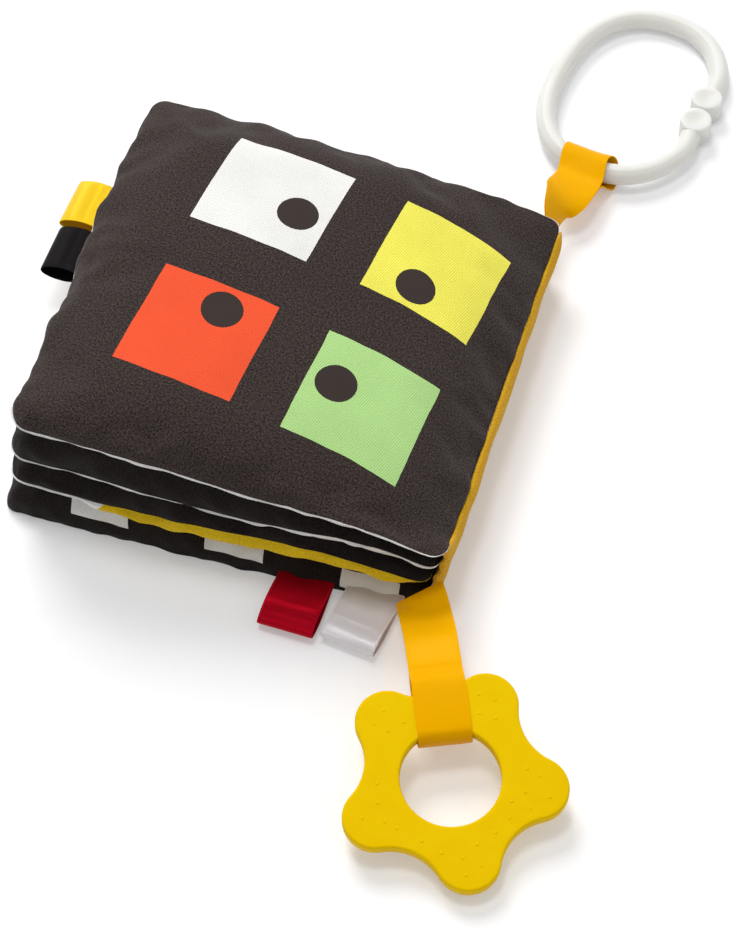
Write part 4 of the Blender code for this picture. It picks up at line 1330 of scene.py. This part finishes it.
strap_middle = teether_hinge.lerp(swing_hinge, 0.5)
strap_way = (swing_hinge - teether_hinge).normalized()
root_wide = Vector((-math.cos(TEETHER_ROOT_LEAN), 0, -math.sin(TEETHER_ROOT_LEAN)))
corners = (TEETHER_RIBBON_ROOT, teether_hinge, swing_hinge)
points, wides = stations(corners, root_wide, teether_wide, TEETHER_TWIST_LENGTH)
middle = min(range(len(points)), key=lambda index: (points[index] - strap_middle).length)
strap_points, strap_wides = points[:middle + 1], wides[:middle + 1]
plies = [(ply(strap_points, strap_wides, side * NECK), strap_wides) for side in (-1, 1)]
teether_strap = ribbon_mesh("teether_satin_strap", plies, RIBBON_WIDTH, amber_satin)
full_length = loop_flare_out - loop_end_out
profile = folded_profile(
    FOLD_CLEARANCE, TEETHER_RIBBON_FLARE, full_length, loop_radius, FLARE_STEPS, loop_radius
)
loop = placed(profile, swing_hinge, teether_way, teether_wide)
loop_run, loop_run_wides = doubled(points[middle:], wides[middle:], *loop, TEETHER_LOOP_ROUNDS)
runs = [(loop_run, loop_run_wides)]
teether_loop = ribbon_mesh("teether_satin_loop", runs, RIBBON_WIDTH, amber_satin)
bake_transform(teether_strap)
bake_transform(teether_loop)
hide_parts("teether_ribbon_tail", "teether_ribbon")
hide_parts("teether_ribbon_loop")


# Teether
#
# A flat flower of food-grade rubber with a finger hole, five round petals and rounded edges. Its
# faces are matt, with faint raised dots for the gums.

TEETHER_SAG = math.radians(1.0)
TEETHER_REACH = 0.0327
TEETHER_VALLEY = 0.0239
TEETHER_PETALS = 5
TEETHER_PETAL_RADIUS = 0.0091
TEETHER_FIRST_VALLEY = math.radians(4.3)
TEETHER_UPPER_ROUNDING = 0.0008
TEETHER_UNDER_ROUNDING = 0.0030
QUARTER_STEPS = 7
OUTLINE_STEPS = 22
FACE_STEPS = 8


def arc_points(centre, radius, start, end, steps):
    angles = [start + (end - start) * step / steps for step in range(steps)]
    x, y = centre
    return [Vector((x + radius * math.cos(a), y + radius * math.sin(a), 0)) for a in angles]


def petal_outline():
    """Round petals joined by hollow arcs that meet them smoothly, a valley facing the ribbon."""
    petal_out = TEETHER_REACH - TEETHER_PETAL_RADIUS
    half = math.pi / TEETHER_PETALS
    spread = petal_out * math.cos(half)
    gap = TEETHER_VALLEY ** 2 + petal_out ** 2 - 2 * spread * TEETHER_VALLEY
    gap -= TEETHER_PETAL_RADIUS ** 2
    valley_radius = gap / (2 * (TEETHER_PETAL_RADIUS - TEETHER_VALLEY + spread))
    valley_out = TEETHER_VALLEY + valley_radius
    points = []
    for number in range(TEETHER_PETALS):
        middle = TEETHER_FIRST_VALLEY + half * (2 * number + 1)
        petal = (petal_out * math.cos(middle), petal_out * math.sin(middle))
        hollow = (valley_out * math.cos(middle + half), valley_out * math.sin(middle + half))
        reach = math.atan2(hollow[1] - petal[1], hollow[0] - petal[0]) - middle
        reach = (reach + math.pi) % (2 * math.pi) - math.pi
        arc = (middle - reach, middle + reach, OUTLINE_STEPS)
        points += arc_points(petal, TEETHER_PETAL_RADIUS, *arc)
        first = middle + reach + math.pi
        arc = (first, first - 2 * (reach - half), OUTLINE_STEPS // 2)
        points += arc_points(hollow, valley_radius, *arc)
    return points


outline = petal_outline()
half = TEETHER_THICKNESS / 2
quarter = [math.pi / 2 * step / QUARTER_STEPS for step in range(QUARTER_STEPS + 1)]
rounding, under_rounding = [
    [(size * (1 - math.cos(turn)), side * (half - size * (1 - math.sin(turn)))) for turn in quarter]
    for size, side in ((TEETHER_UPPER_ROUNDING, 1), (TEETHER_UNDER_ROUNDING, -1))
]
bm = bmesh.new()
rows = []
for index, point in enumerate(outline):
    along = (outline[(index + 1) % len(outline)] - outline[index - 1]).normalized()
    outward = along.cross(UP)
    inward = point.normalized()
    hole = inward * TEETHER_HOLE
    around = []
    for profile, face in ((rounding, half), (under_rounding, -half)):
        section = [(hole + inward * inset, height) for inset, height in profile]
        start, end = section[-1][0], point - outward * profile[-1][0]
        section += [(start.lerp(end, step / FACE_STEPS), face) for step in range(1, FACE_STEPS)]
        section += [(point - outward * inset, height) for inset, height in reversed(profile)]
        around += section if face > 0 else reversed(section)
    rows.append([bm.verts.new(place + UP * height) for place, height in around])
turned_rows(bm, [*rows, rows[0]])
bmesh.ops.recalc_face_normals(bm, faces=bm.faces)

# Gum dots in staggered rows that wander a little: low domes on both faces, as (out, up) shares
DOT_PITCH = 0.0058
DOT_WANDER = 0.35
DOT_WANDER_SCALE = 1.7
DOT_SECOND_NOISE = Vector((3.7, 8.1, 5.3))
DOT_RADIUS = 0.00055
DOT_HEIGHT = 0.00012
DOT_MARGIN = 0.0036
DOT_SIDES = 12
DOT_RINGS = ((1.0, -0.2), (0.8, 0.45), (0.45, 0.85), (0.05, 1.0))


def inside_outline(spot):
    turn = math.atan2(spot.y, spot.x)
    turns = [math.remainder(math.atan2(point.y, point.x) - turn, 2 * math.pi) for point in outline]
    near = min(range(len(outline)), key=lambda index: abs(turns[index]))
    return spot.length < outline[near].length


def on_face(spot):
    """Whether a gum dot fits between the hole and the outline at this spot."""
    nearest = min((point - spot).length for point in outline)
    return spot.length > TEETHER_HOLE + DOT_MARGIN and nearest > DOT_MARGIN and inside_outline(spot)


reach = round(TEETHER_REACH / DOT_PITCH) + 1
for row in range(-reach, reach + 1):
    for column in range(-reach, reach + 1):
        spot = Vector((DOT_PITCH * (column + row % 2 / 2), DOT_PITCH * row * math.sqrt(3) / 2, 0))
        place = spot / DOT_PITCH * DOT_WANDER_SCALE
        wander = Vector((noise.noise(place), noise.noise(place + DOT_SECOND_NOISE), 0))
        spot += wander * DOT_PITCH * DOT_WANDER
        if not on_face(spot):
            continue
        for side in (1, -1):
            turns = [2 * math.pi * corner / DOT_SIDES * side for corner in range(DOT_SIDES)]
            rings = []
            for out, up in DOT_RINGS:
                ring = [level_way(turn) * DOT_RADIUS * out for turn in turns]
                height = side * (half + DOT_HEIGHT * up)
                rings.append([bm.verts.new(spot + place + UP * height) for place in ring])
            turned_rows(bm, rings)
            bm.faces.new(rings[-1])
            bm.faces.new(list(reversed(rings[0])))
keep_edges_crisp(bm, CRISP_ANGLE)

# Teether rubber, a soft food-grade elastomer: matt and even
RUBBER_YELLOW = "#f2ca08"
RUBBER_SURFACE = {
    "IOR": 1.43,
    "Specular IOR Level": 0.18,
    "Specular Tint": linear(RUBBER_YELLOW),
}
rubber = moulded(
    "yellow_teether_rubber",
    "#e9bd00",
    RUBBER_YELLOW,
    (150, 5, 0.65),
    (0.5, 0.62),
    (0.15, 0.0002),
    RUBBER_SURFACE,
)
teether = bm_object("moulded_teether", bm, rubber)
heading_turn = Matrix.Rotation(TEETHER_HEADING + math.pi, 4, "Z")
tilt_turn = Matrix.Rotation(-TEETHER_TILT - TEETHER_SAG, 4, "Y")
teether.data.transform(heading_turn @ tilt_turn)
teether.data.transform(Matrix.Translation(teether_centre + teether_way * TEETHER_SHIFT))
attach(teether, "teether")
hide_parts("teether")


scene.view_settings.view_transform = "Standard"
